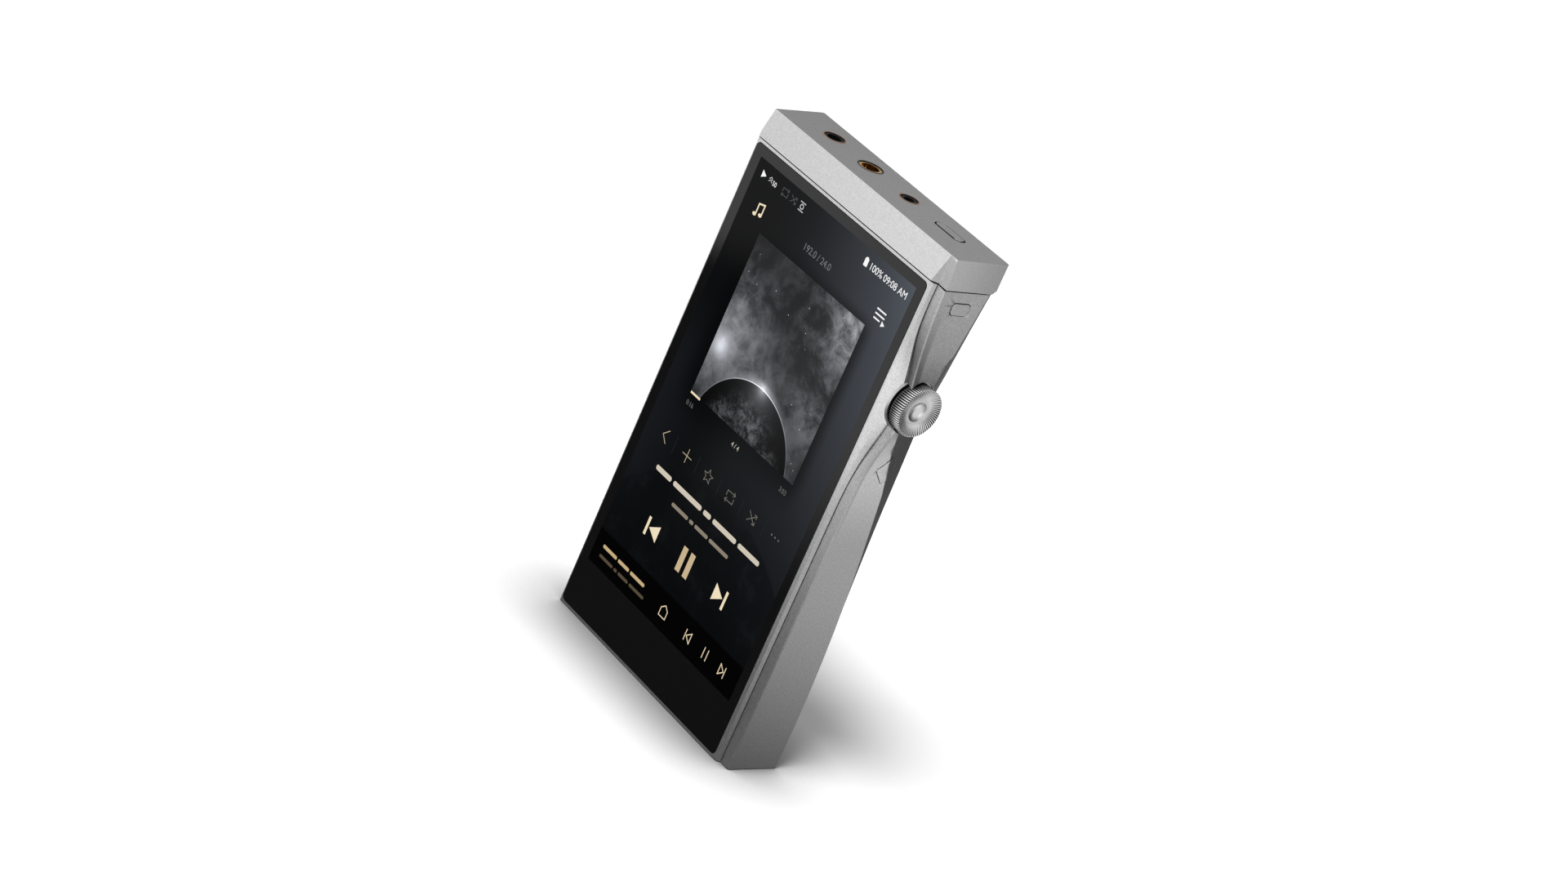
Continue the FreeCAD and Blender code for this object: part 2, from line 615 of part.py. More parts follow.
def module_cap():
    """The head's shell: open below, with holes for the jacks and the power key."""
    hollow = can(-34.4, 34.2, 2.2, 15.3, BODY_TOP, CAP_CEILING, 1.0)
    x, depth, length, width = POWER_KEY
    open_line = 2 * KEY_GAP + POWER_SLIT
    holes = [rod_z(jx, JACK_DEPTH, ring, 134.0, HEIGHT + 1) for jx, bore, neck, ring, *rest in JACKS.values()]
    holes.append(pill_z(x + POWER_SLIT / 2, depth - POWER_SLIT / 2, length + open_line, width + open_line,
                        134.0, HEIGHT + 1, POWER_KEY_CORNER + open_line / 2))
    return cap_form().cut([hollow] + holes)


def module_case():
    """The tray that slides into the housing, with a groove for the latch and posts for the head."""
    left, right, bottom, top = CASE
    tray = box(left, right, CASE_FRONT + 0.8, CASE_BACK, bottom, top)
    tray = tray.cut(box(left + 1.0, right - 2.4, CASE_FRONT, CASE_BACK - 0.8, bottom + 1.0, top + 1.0))
    groove = box(27.0, right + 1, 6.7, 9.7, bottom - 1, 126.5)
    port = box(-13.5, 7.5, 7.0, 11.8, bottom - 1, bottom + 2.0)
    front = CASE_FRONT + 0.8
    posts = [box(x, x + 2.4, front, front + 2.6, top - 4, CAP_CEILING) for x in (left, right - 2.4)]
    return tray.cut([groove, port]).fuse(posts).removeSplitter()


def module_lid():
    left, right, bottom, top = CASE
    return plate((left, right, bottom, top), CASE_FRONT, CASE_FRONT + 0.8, 1.0)


def module_board():
    return box(-31.9, 25.9, 13.2, 14.0, 90.0, 129.0)


def jack_body(name):
    """The insulating body of a jack, with a neck that reaches up through the head."""
    x, bore, neck, ring, length, half = JACKS[name]
    foot = HEIGHT - length
    body = box(x - half, x + half, JACK_DEPTH - 3.6, 13.2, foot - 1.6, CAP_CEILING)
    if name == "4_4":
        hole = rod_z(x, JACK_DEPTH, neck, foot, HEIGHT + 1)
        return body.cut(hole)
    body = body.fuse(rod_z(x, JACK_DEPTH, neck, 134.0, JACK_TOP)).removeSplitter()
    return body.cut(rod_z(x, JACK_DEPTH, bore, foot, HEIGHT + 1))


def jack_4_4_sleeve():
    x, bore, neck, ring, length, half = JACKS["4_4"]
    return tube_z(x, JACK_DEPTH, bore, neck, HEIGHT - length, JACK_TOP)


def jack_ring(name):
    x, bore, neck, ring, *rest = JACKS[name]
    return tube_z(x, JACK_DEPTH, neck, ring, 135.0, HEIGHT + 0.05)


def converter_chips():
    return group([box(x, x + 8.0, 12.1, 13.2, 104.0, 112.0) for x in (-24.0, -6.0)])


def amplifier_chips():
    return group([box(x, x + 4.5, 12.3, 13.2, 97.0, 101.5) for x in (-26.0, -19.0, -4.0, 3.0)])


def clock_oscillators():
    return group([box(x, x + 5.0, 11.6, 13.2, 92.0, 95.2) for x in (-28.0, -21.0)])


def output_capacitors():
    return group([box(12.0 + 4.4 * i, 15.4 + 4.4 * i, 9.8, 13.2, z, z + 4.0)
                  for i in range(3) for z in (96.0, 103.0, 110.0)])


def module_plug():
    """The module's half of the connector: a tongue that hangs clear in the socket's mouth."""
    tongue = box(-11.2, 5.2, 9.0, 9.8, 83.6, 90.5)
    block = box(-12.5, 6.5, 7.6, 13.2, 90.2, 93.6)
    return tongue.fuse(block).removeSplitter()


def module_shield():
    outside = can(-10.0, 10.2, 7.4, 13.2, 94.6, 116.4, 0.8)
    return outside.cut(box(-9.7, 9.9, 7.7, 14.0, 94.9, 116.1))


def power_key():
    """The long key in the head's top face, with a flange that stops it from below."""
    x, depth, length, width = POWER_KEY
    stem = pill_z(x, depth, length, width, 134.2, HEIGHT, POWER_KEY_CORNER)
    flange = pill_z(x, depth, length + 2 * POWER_KEY_RIM, width + 2 * POWER_KEY_RIM,
                    POWER_KEY_FOOT, 134.3, POWER_KEY_CORNER + POWER_KEY_RIM)
    return stem.fuse(flange).removeSplitter()


def power_switch():
    x, depth, *rest = POWER_KEY
    body = box(x - 1.8, x + 1.8, depth - 1.8, depth + 1.8, 131.7, 132.5)
    return body.fuse(rod_z(x, depth, 0.9, 132.4, POWER_KEY_FOOT - KEY_REST_GAP)).removeSplitter()


def power_switch_board():
    x, depth, *rest = POWER_KEY
    return box(x - 5.0, x + 3.6, depth - 2.4, depth + 2.4, 131.2, 131.7)


# ---- export -------------------------------------------------------------------------------------
def all_parts():
    parts = {
        "housing_shell": housing_shell(),
        "display_frame": display_frame(),
        "cover_glass": cover_glass(),
        "display_panel": display_panel(),
        "display_flex": display_flex(),
        "mid_plate": mid_plate(),
        "chassis_screws": chassis_screws(),
        "rear_cover": rear_cover(),
        "rear_cover_studs": rear_cover_studs(),
        "main_board": main_board(),
        "processor_shield": processor_shield(),
        "processor_chips": processor_chips(),
        "battery": battery(),
        "battery_lead": battery_lead(),
        "io_board": io_board(),
        "usb_receptacle": usb_receptacle(),
        "usb_tongue": usb_tongue(),
        "card_socket": card_socket(),
        "module_socket": module_socket(),
        "module_guide": module_guide(),
        "bay_divider": bay_divider(),
        "track_switch_board": track_switch_board(),
        "track_switches": track_switches(),
        "function_key": function_key(),
        "function_switch": function_switch(),
        "release_key": release_key(),
        "release_latch": release_latch(),
        "wheel_rim": wheel_rim(),
        "wheel_cap": wheel_cap(),
        "wheel_shaft": wheel_shaft(),
        "wheel_bushing": wheel_bushing(),
        "wheel_light_ring": wheel_light_ring(),
        "wheel_encoder": wheel_encoder(),
        "module_cap": module_cap(),
        "module_case": module_case(),
        "module_lid": module_lid(),
        "module_board": module_board(),
        "module_plug": module_plug(),
        "module_shield": module_shield(),
        "converter_chips": converter_chips(),
        "amplifier_chips": amplifier_chips(),
        "clock_oscillators": clock_oscillators(),
        "output_capacitors": output_capacitors(),
        "jack_4_4_sleeve": jack_4_4_sleeve(),
        "power_key": power_key(),
        "power_switch": power_switch(),
        "power_switch_board": power_switch_board(),
    }
    for name in JACKS:
        parts[f"jack_{name}_body"] = jack_body(name)
        parts[f"jack_{name}_ring"] = jack_ring(name)
    for name, height in TRACK_KEYS.items():
        parts[name] = track_key(height)
    return parts


os.makedirs("parts", exist_ok=True)
for node, shape in all_parts().items():
    shape.exportStep(f"parts/{node}.step")
    print(f"{node:22s} solids {len(shape.Solids)}  valid {shape.isValid()}  volume {shape.Volume:.1f}")
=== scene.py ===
"""The looks of the portable digital audio player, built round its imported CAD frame. Metres."""
import json
import math

import bmesh
import bpy
from mathutils import Matrix, Vector


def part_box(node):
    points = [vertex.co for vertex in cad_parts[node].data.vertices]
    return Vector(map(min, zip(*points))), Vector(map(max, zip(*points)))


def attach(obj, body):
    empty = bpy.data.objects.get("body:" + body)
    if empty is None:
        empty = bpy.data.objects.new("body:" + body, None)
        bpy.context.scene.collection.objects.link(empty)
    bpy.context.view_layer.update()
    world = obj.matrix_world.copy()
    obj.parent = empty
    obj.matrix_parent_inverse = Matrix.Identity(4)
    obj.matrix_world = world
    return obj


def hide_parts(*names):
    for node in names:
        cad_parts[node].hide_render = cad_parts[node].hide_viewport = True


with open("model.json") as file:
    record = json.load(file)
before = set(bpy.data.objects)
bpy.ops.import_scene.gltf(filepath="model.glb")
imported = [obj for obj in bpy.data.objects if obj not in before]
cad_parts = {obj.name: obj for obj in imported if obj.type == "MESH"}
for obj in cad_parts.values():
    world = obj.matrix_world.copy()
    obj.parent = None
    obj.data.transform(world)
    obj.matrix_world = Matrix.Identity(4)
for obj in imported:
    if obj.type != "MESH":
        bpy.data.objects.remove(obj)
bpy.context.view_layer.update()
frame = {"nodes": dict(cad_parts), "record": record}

MM = 0.001
nodes = frame["nodes"]
scene = bpy.context.scene


def span(node):
    """Lowest and highest corner of a CAD node in millimetres."""
    low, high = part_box(node)
    return low / MM, high / MM


def radius_of(node):
    """Radius in millimetres of a round CAD node whose axis lies along X."""
    low, high = span(node)
    return (high.z - low.z) / 2


# lengths are in millimetres from here on, unless a comment says otherwise
FRONT = span("cover_glass")[0].y          # Y of the glass face
WHEEL_LOW, WHEEL_HIGH = span("wheel_rim")
WHEEL_CENTRE = (WHEEL_LOW + WHEEL_HIGH) / 2
WHEEL_AXIS = (WHEEL_CENTRE.y, WHEEL_CENTRE.z)
JACKS = ("3_5", "4_4", "2_5")
TRACK_KEYS = ("next_key", "play_key", "previous_key")


# ---- camera -------------------------------------------------------------------------------------
CAMERA_PLACE = (0.5798, -0.6167, 0.3987)                 # metres
AZIMUTH, ELEVATION, ROLL = 43.08, 21.27, 24.10           # degrees
FOCAL_LENGTH, SENSOR_WIDTH = 89.0, 36.0


def turn(axis, degrees):
    """A rotation about one axis."""
    return Matrix.Rotation(math.radians(degrees), 4, axis)


def make_camera():
    """The photograph's viewpoint."""
    data = bpy.data.cameras.new("camera")
    data.lens = FOCAL_LENGTH
    data.sensor_width = SENSOR_WIDTH
    data.clip_start = 0.01
    camera = bpy.data.objects.new("camera", data)
    aim = turn("Z", AZIMUTH) @ turn("X", 90 - ELEVATION) @ turn("Z", ROLL)
    camera.matrix_world = Matrix.Translation(CAMERA_PLACE) @ aim
    scene.collection.objects.link(camera)
    scene.camera = camera


# ---- node graphs --------------------------------------------------------------------------------
class Field:
    """A value in a shader's node graph. Arithmetic on it adds Math nodes."""

    def __init__(self, graph, socket):
        self.graph = graph
        self.socket = socket

    def __add__(self, other):
        return self.graph.math("ADD", self, other)

    def __sub__(self, other):
        return self.graph.math("SUBTRACT", self, other)

    def __mul__(self, other):
        return self.graph.math("MULTIPLY", self, other)

    def __truediv__(self, other):
        return self.graph.math("DIVIDE", self, other)

    def __rsub__(self, other):
        return self.graph.math("SUBTRACT", other, self)

    def __rtruediv__(self, other):
        return self.graph.math("DIVIDE", other, self)

    __radd__ = __add__
    __rmul__ = __mul__


class Graph:
    """Short names for the nodes that the materials here are made of."""

    def __init__(self, tree):
        self.tree = tree

    def node(self, kind, **settings):
        """A new node with some of its properties set."""
        made = self.tree.nodes.new(kind)
        for name, value in settings.items():
            setattr(made, name, value)
        return made

    def feed(self, socket, value):
        """Links a field to a socket, or sets a plain value on it."""
        if isinstance(value, Field):
            self.tree.links.new(value.socket, socket)
        else:
            socket.default_value = value

    def math(self, operation, a, b=0.0):
        """The result of a Math node. a and b are fields or plain numbers."""
        made = self.node("ShaderNodeMath", operation=operation)
        for socket, value in zip(made.inputs, (a, b)):
            self.feed(socket, value)
        return Field(self, made.outputs[0])

    def clamp(self, a):
        """The value held between 0 and 1."""
        return self.math("MAXIMUM", self.math("MINIMUM", a, 1.0), 0.0)

    def step(self, a, low, high, bottom=0.0, top=1.0):
        """A smooth rise from bottom to top, as a goes from low to high."""
        made = self.node("ShaderNodeMapRange", interpolation_type="SMOOTHSTEP")
        for socket, value in zip(made.inputs, (a, low, high, bottom, top)):
            self.feed(socket, value)
        return Field(self, made.outputs[0])

    def place(self):
        """Object coordinates, which are row frame metres, as a vector field and in millimetres."""
        made = self.node("ShaderNodeTexCoord")
        vector = Field(self, made.outputs["Object"])
        split = self.node("ShaderNodeSeparateXYZ")
        self.feed(split.inputs[0], vector)
        return vector, [Field(self, out) * (1 / MM) for out in split.outputs]

    def noise(self, vector, scale, detail, rough=0.5, distortion=0.0):
        """Noise round 0.5. The scale is in cells per metre."""
        made = self.node("ShaderNodeTexNoise")
        self.feed(made.inputs["Vector"], vector)
        for name, value in (("Scale", scale), ("Detail", detail), ("Roughness", rough),
                            ("Distortion", distortion)):
            made.inputs[name].default_value = value
        return Field(self, made.outputs[0])

    def cells(self, vector, scale, feature="F1"):
        """Distance to the points or the walls of a cell pattern. The scale is in cells per metre."""
        made = self.node("ShaderNodeTexVoronoi", feature=feature)
        self.feed(made.inputs["Vector"], vector)
        made.inputs["Scale"].default_value = scale
        return Field(self, made.outputs["Distance"])

    def project(self, x, y, direction):
        """How far (x, y) lies along a level direction."""
        return x * direction[0] + y * direction[1]

    def distance(self, x, z, centre):
        """How far (x, z) lies from a centre in the same plane."""
        dx, dz = x - centre[0], z - centre[1]
        return self.math("SQRT", dx * dx + dz * dz)

    def glow(self, x, z, centre, reach):
        """A soft round spot: 1 at its centre, falling off over reach."""
        far = self.distance(x, z, centre) / reach
        return 1.0 / (1.0 + far * far)

    def blend(self, factor, a, b):
        """Colour a where the factor is 0 and colour b where it is 1."""
        made = self.node("ShaderNodeMix", data_type="RGBA")
        self.feed(made.inputs[0], factor)
        for socket, value in ((made.inputs[6], a), (made.inputs[7], b)):
            self.feed(socket, value if isinstance(value, Field) else (*value, 1.0))
        return Field(self, made.outputs[2])

    def tint(self, colour, amount):
        """A colour times a value field."""
        made = self.node("ShaderNodeVectorMath", operation="SCALE")
        self.feed(made.inputs[0], colour if isinstance(colour, Field) else Vector(colour))
        self.feed(made.inputs["Scale"], amount)
        return Field(self, made.outputs[0])

    def shown(self, level):
        """The linear value of a display level from 0 to 1, by the sRGB curve."""
        return self.math("POWER", (level + 0.055) * (1 / 1.055), 2.4)

    def bump(self, height, strength, depth):
        """A normal that follows a height field of some depth."""
        made = self.node("ShaderNodeBump")
        made.inputs["Strength"].default_value = strength
        made.inputs["Distance"].default_value = depth * MM
        self.feed(made.inputs["Height"], height)
        return Field(self, made.outputs[0])


def linear(*rgb):
    """Scene colour from display values of 0 to 255, by the sRGB curve."""
    return tuple(((v / 255 + 0.055) / 1.055) ** 2.4 if v > 10 else v / 255 / 12.92 for v in rgb)


def material(name, colour=(0.5, 0.5, 0.5), metallic=0.0, rough=0.5, **constants):
    """A Principled material and its graph. Constants are set on the shader's own sockets."""
    made = bpy.data.materials.new(name)
    made.use_nodes = True
    graph = Graph(made.node_tree)
    graph.shader = made.node_tree.nodes["Principled BSDF"]
    graph.shader.inputs["Base Color"].default_value = (*colour, 1.0)
    graph.shader.inputs["Metallic"].default_value = metallic
    graph.shader.inputs["Roughness"].default_value = rough
    for key, value in constants.items():
        graph.shader.inputs[key.replace("_", " ")].default_value = value
    graph.made = made
    return graph


# ---- materials ----------------------------------------------------------------------------------
# noise scales, in cells per metre
GRAIN, COARSE_GRAIN, SLOW_CHANGE = 4300, 1900, 45
TOOL_MARKS, STAINS = 2600, 260

BLACK = (0.0, 0.0, 0.0)
BODY_COLOUR = (0.56, 0.56, 0.565)
HEAD_COLOUR = (0.58, 0.58, 0.585)
COPPER = (0.62, 0.33, 0.19)
DARK_PLATING = (0.10, 0.09, 0.08)


# The functions called ..._shade give painted shade and painted highlights that are tied to places on
# the metal.
# Each takes the graph and the place, so that blasted_metal can call any of them.
def rail_shade(g, x, y, z):
    """Painted shade on the rail above the wheel: its colour is darkest beside its groove and at the
    wheel.
    """
    groove = g.step(z, 121.0, 101.0) * 3.4 + 33.1        # X of the groove, which leans out lower down
    beside = g.step(x - groove, 2.6, 0.1)
    upper = g.step(z, 99.0, 101.0) * g.step(z, 129.0, 108.0)
    front = g.step(y, FRONT + 4.2, FRONT + 3.0) * g.step(x - groove, -0.05, 0.02)
    return 1.0 - upper * front * (0.44 + beside * 0.36)


def side_shade(g, x, y, z):
    """Painted highlight and shade below the wheel: the side face is painted lighter up to its crease,
    and the facet past the crease is painted darker.
    """
    depth = y - FRONT
    # the crease runs in two straight lines, which meet at Z = 76
    crease = g.math("MINIMUM", 21.65 - z * 0.15, 36.1 - z * 0.34)
    behind = g.step(depth - crease, -0.05, 0.15)
    right = g.step(x, 28.0, 30.0) * g.step(z, 98.0, 94.0)
    light = (1.0 - behind) * g.step(depth, 1.9, 2.4) * g.step(z, 60.0, 84.0) * 0.50
    return 1.0 + right * (light - behind * g.step(z, 20.0, 50.0) * 0.45)


def shell_shade(g, x, y, z):
    """Both painted shades of the housing's shell: the rail's and the side's."""
    return rail_shade(g, x, y, z) * side_shade(g, x, y, z)


def strip_shade(g, x, y, z):
    """A painted highlight: the frame's strip is painted brighter where it swells beside the wheel."""
    return 1.0 + g.step(z, 64.0, 86.0) * g.step(z, 116.0, 104.0) * g.step(x, 31.0, 32.5) * 0.34


def near(g, value, low, high):
    """1 from low to high and for the width of the power key's pocket beyond them, else 0."""
    margin, soft = 1.2, 0.2
    return (g.step(value, low - margin, low - margin + soft)
            * g.step(value, high + margin, high + margin - soft))


def head_shade(g, x, y, z):
    """Painted shade on the head: it is painted darker to the left, its end lighter at the front and
    darker towards the back, a dark line is painted along the end's top edge, and the power key's
    pocket is painted black inside.
    """
    end_x = 36.0
    end = g.step(x, end_x, end_x + 0.5)
    tone = g.step(x, -36.0, 24.0, 0.90, 1.0) + end * g.step(y, 9.0, -8.5, -0.24, 0.22)
    top = span("module_cap")[1].z
    # painted shade: a dark line along the top edge of the end
    edge = g.step(x, end_x + 0.35, end_x + 0.55) * g.step(z, top - 0.35, top - 0.15)
    tone = tone * (1.0 - edge * 0.45)
    low, high = span("power_key")
    # painted shade: the power key's pocket is darkened inside
    pocket = near(g, x, low.x, high.x) * near(g, y, low.y, high.y)
    inside = pocket * g.step(z, high.z - 0.05, high.z - 0.22)
    return tone * (1.0 - inside * 0.96)


def key_shade(g, x, y, z):
    """Painted shade: the sides of the power key, down in its pocket, are painted nearly black."""
    top = span("power_key")[1].z
    return g.step(z, top - 0.25, top - 0.08, 0.04, 1.0)


def blasted_metal(name, colour, rough=0.34, grain=1.0, shade=None):
    """Bead-blasted aluminium: a fine sparkling grain with a slow change of tone, times the painted
    shade and highlights of shade when one is given.
    """
    g = material(name, metallic=1.0)
    vector, (x, y, z) = g.place()
    fine = g.noise(vector, GRAIN, 2.0, 0.6)
    coarse = g.noise(vector, COARSE_GRAIN, 1.0)
    slow = g.noise(vector, SLOW_CHANGE, 2.0)
    tone = 1.0 + (fine - 0.5) * (0.9 * grain) + (coarse - 0.5) * (0.35 * grain) + (slow - 0.5) * 0.06
    # shade multiplies painted shade and painted highlights into the colour
    if shade:
        tone = tone * shade(g, x, y, z)
    g.feed(g.shader.inputs["Base Color"], g.tint(colour, tone))
    g.feed(g.shader.inputs["Roughness"], rough + (fine - 0.5) * 0.2 + (slow - 0.5) * 0.05)
    g.feed(g.shader.inputs["Normal"], g.bump(fine, 0.6 * grain, 0.03))
    return g.made


def turned_metal(name, colour, rough):
    """Machined or plated metal with faint tool marks and small stains."""
    g = material(name, metallic=1.0)
    vector, _ = g.place()
    marks = g.noise(vector, TOOL_MARKS, 1.0)
    stain = g.noise(vector, STAINS, 3.0)
    g.feed(g.shader.inputs["Base Color"], g.tint(colour, 1.0 + (stain - 0.5) * 0.12))
    g.feed(g.shader.inputs["Roughness"], rough + (marks - 0.5) * 0.12 + (stain - 0.5) * 0.08)
    g.feed(g.shader.inputs["Normal"], g.bump(marks, 0.12, 0.006))
    return g.made


def polished_hollow():
    """The polished mirror in the middle of the wheel, with painted shade that darkens its colour
    towards its edge.
    """
    g = material("mirror_cap", metallic=1.0)
    vector, (_, y, z) = g.place()
    edge = radius_of("wheel_cap")
    # painted shade: the mirror's colour darkens from its middle to its edge
    polish_and_painted_shade = g.step(g.distance(y, z, WHEEL_AXIS), edge, edge * 0.45, 0.50, 1.0)
    stain = g.noise(vector, STAINS, 3.0)
    g.feed(g.shader.inputs["Base Color"], g.tint((0.98, 0.98, 0.98), polish_and_painted_shade))
    g.feed(g.shader.inputs["Roughness"], 0.12 + (stain - 0.5) * 0.06)
    return g.made


def light_guide_material():
    """The black light guide round the wheel's foot, with a blasted metal lip round its outside."""
    g = material("light_guide", rough=0.5, Specular_IOR_Level=0.1)
    vector, (_, y, z) = g.place()
    outside = radius_of("wheel_light_ring")
    lip = g.step(g.distance(y, z, WHEEL_AXIS), outside - 0.34, outside - 0.28)
    grain = g.noise(vector, GRAIN, 2.0, 0.6)
    g.feed(g.shader.inputs["Base Color"], g.blend(lip, (0.002, 0.002, 0.002), BODY_COLOUR))
    g.feed(g.shader.inputs["Metallic"], lip)
    g.feed(g.shader.inputs["Roughness"], 0.45 + (grain - 0.5) * 0.2)
    return g.made


def moulded(name, colour, rough, gloss=0.5):
    """Moulded plastic: a spark-eroded skin with a little tone change."""
    g = material(name, Specular_IOR_Level=gloss)
    vector, _ = g.place()
    skin = g.noise(vector, 4200, 2.0)
    slow = g.noise(vector, 130, 2.0)
    g.feed(g.shader.inputs["Base Color"], g.tint(colour, 1.0 + (slow - 0.5) * 0.25))
    g.feed(g.shader.inputs["Roughness"], rough + (skin - 0.5) * 0.15)
    g.feed(g.shader.inputs["Normal"], g.bump(skin, 0.25, 0.01))
    return g.made


def ring_material(name, centre, edge, colour):
    """A jack's insulating ring: black, with a thin plated rim outside the given radius."""
    g = material(name, rough=0.5, Specular_IOR_Level=0.08)
    vector, (x, y, _) = g.place()
    rim = g.step(g.distance(x, y, centre), edge - 0.03, edge + 0.03)
    marks = g.noise(vector, 1800, 2.0)
    g.feed(g.shader.inputs["Base Color"], g.blend(rim, (0.008, 0.008, 0.009), colour))
    g.feed(g.shader.inputs["Metallic"], rim)
    g.feed(g.shader.inputs["Roughness"], 0.34 + (marks - 0.5) * 0.2)
    return g.made


def board_material():
    """Green solder mask over faint copper tracks, with pads showing through."""
    g = material("solder_mask", rough=0.35)
    vector, _ = g.place()
    tracks = g.step(g.cells(vector, 700, "DISTANCE_TO_EDGE"), 0.05, 0.12)
    pads = g.step(g.cells(vector, 900), 0.16, 0.12)
    mask = g.blend(tracks, (0.010, 0.075, 0.035), (0.006, 0.045, 0.022))
    g.feed(g.shader.inputs["Base Color"], g.blend(pads * 0.8, mask, (0.55, 0.42, 0.18)))
    g.feed(g.shader.inputs["Normal"], g.bump(tracks, 0.3, 0.02))
    return g.made


def wrap_material():
    """The battery's crinkled foil wrap."""
    g = material("cell_wrap", rough=0.38)
    vector, _ = g.place()
    folds = g.noise(vector, 170, 4.0, 0.6, 0.8)
    g.feed(g.shader.inputs["Base Color"], g.tint((0.035, 0.035, 0.04), 0.8 + folds * 0.5))
    g.feed(g.shader.inputs["Normal"], g.bump(folds, 0.5, 0.15))
    return g.made


def front_glass():
    """Black glass with a barely uneven gloss and a trace of dust."""
    g = material("front_glass", rough=0.05, Specular_IOR_Level=0.35)
    vector, _ = g.place()
    dust = g.step(g.noise(vector, 2400, 3.0), 0.66, 0.8)
    wipe = g.noise(vector, 34, 3.0, 0.5, 1.5)
    g.feed(g.shader.inputs["Base Color"], g.tint((0.0012, 0.0012, 0.0013), 1.0 + dust * 6.0))
    g.feed(g.shader.inputs["Roughness"], 0.045 + wipe * 0.03 + dust * 0.1)
    return g.made


def back_panel():
    """Near black ceramic with a fine woven lattice under its gloss."""
    g = material("back_panel", rough=0.2, Coat_Weight=0.6, Coat_Roughness=0.06)
    vector, (x, _, z) = g.place()
    pitch = 2.4
    rising, falling, level = [g.math("PINGPONG", g.project(x, z, across), pitch / 2)
                              for across in ((0.87, 0.5), (0.87, -0.5), (0.0, 1.0))]
    groove = g.math("MINIMUM", g.math("MINIMUM", rising, falling), level)
    rib = g.step(groove, 0.05, 0.22)
    fleck = g.noise(vector, 900, 2.0)
    g.feed(g.shader.inputs["Base Color"], g.blend(rib, (0.030, 0.030, 0.034), (0.010, 0.010, 0.012)))
    g.feed(g.shader.inputs["Roughness"], 0.42 - rib * 0.16 + (fleck - 0.5) * 0.1)
    g.feed(g.shader.inputs["Normal"], g.bump(rib, 0.35, 0.05))
    return g.made


def lit(name, colour, fade=0.10):
    """A lit part of the screen, with the faint unevenness of a real panel."""
    g = material(name, BLACK, rough=0.12, Specular_IOR_Level=0.04, Emission_Strength=1.0)
    vector, _ = g.place()
    uneven = g.noise(vector, 240, 2.0)
    g.feed(g.shader.inputs["Emission Color"], g.tint(colour, 1.0 + (uneven - 0.5) * fade))
    return g.made


# ---- mesh helpers -------------------------------------------------------------------------------
def new_piece(name, bm, made, body, smooth=False):
    """Turns a bmesh in millimetres into a piece that rides on a body."""
    bmesh.ops.recalc_face_normals(bm, faces=bm.faces)
    bm.transform(Matrix.Scale(MM, 4))
    mesh = bpy.data.meshes.new(name)
    bm.to_mesh(mesh)
    bm.free()
    mesh.materials.append(made)
    for polygon in mesh.polygons:
        polygon.use_smooth = smooth
    piece = bpy.data.objects.new(name, mesh)
    scene.collection.objects.link(piece)
    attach(piece, body)
    return piece


def bridge(bm, first, second):
    """Quads between two closed loops of vertices."""
    count = len(first)
    for i in range(count):
        j = (i + 1) % count
        bm.faces.new((first[i], first[j], second[j], second[i]))


def add_prism(bm, outline, start, end):
    """Adds a closed flat prism. start and end are functions that give an outline's point its place."""
    rings = [[bm.verts.new(place(a, b)) for a, b in outline] for place in (start, end)]
    bm.faces.new(rings[0])
    bm.faces.new(reversed(rings[1]))
    bridge(bm, *rings)


LAYER = 0.012                # thickness of one printed or lit layer on the glass
SUNK = 0.03                  # how far each layer reaches into the glass


def on_screen(bm, outline, level):
    """A thin plate on the glass. level counts the layers, so that one lies over another."""
    add_prism(bm, outline, lambda a, b: (a, FRONT + SUNK, b),
              lambda a, b: (a, FRONT - LAYER * level, b))


def rectangle(x0, x1, z0, z1, radius=0.0):
    """The outline of a rectangle, with rounded corners if a radius is given."""
    steps = 4
    if not radius:
        return [(x0, z0), (x1, z0), (x1, z1), (x0, z1)]
    points = []
    for cx, cz, start in ((x1 - radius, z0 + radius, -90), (x1 - radius, z1 - radius, 0),
                          (x0 + radius, z1 - radius, 90), (x0 + radius, z0 + radius, 180)):
        for i in range(steps + 1):
            angle = math.radians(start + 90 * i / steps)
            points.append((cx + radius * math.cos(angle), cz + radius * math.sin(angle)))
    return points


def stroke(a, b, width):
    """A straight line of some width, as an outline."""
    run = Vector((b[0] - a[0], b[1] - a[1]))
    side = Vector((-run.y, run.x)).normalized() * width / 2
    along = run.normalized() * width / 2
    a, b = Vector(a) - along, Vector(b) + along
    return [tuple(a - side), tuple(b - side), tuple(b + side), tuple(a + side)]


def path(points, width, closed=False):
    """A line through some points, as one stroke for each straight run."""
    ends = points[1:] + points[:1] if closed else points[1:]
    return [stroke(a, b, width) for a, b in zip(points, ends)]


def oval(centre, half_x, half_z, steps):
    """Points round an ellipse."""
    turns = [2 * math.pi * i / steps for i in range(steps)]
    return [(centre[0] + half_x * math.cos(t), centre[1] + half_z * math.sin(t)) for t in turns]


def screen_piece(name, outlines, made, level=2):
    """A piece of the lit screen: thin plates with one material."""
    bm = bmesh.new()
    for outline in outlines:
        on_screen(bm, outline, level)
    return new_piece(name, bm, made, "housing")


DIGIT_WIDTH = 0.9            # against the width that the font gives
DIGIT_HEIGHT = 0.70          # of a digit in a font of size 1
DIGIT_LEVEL = 2


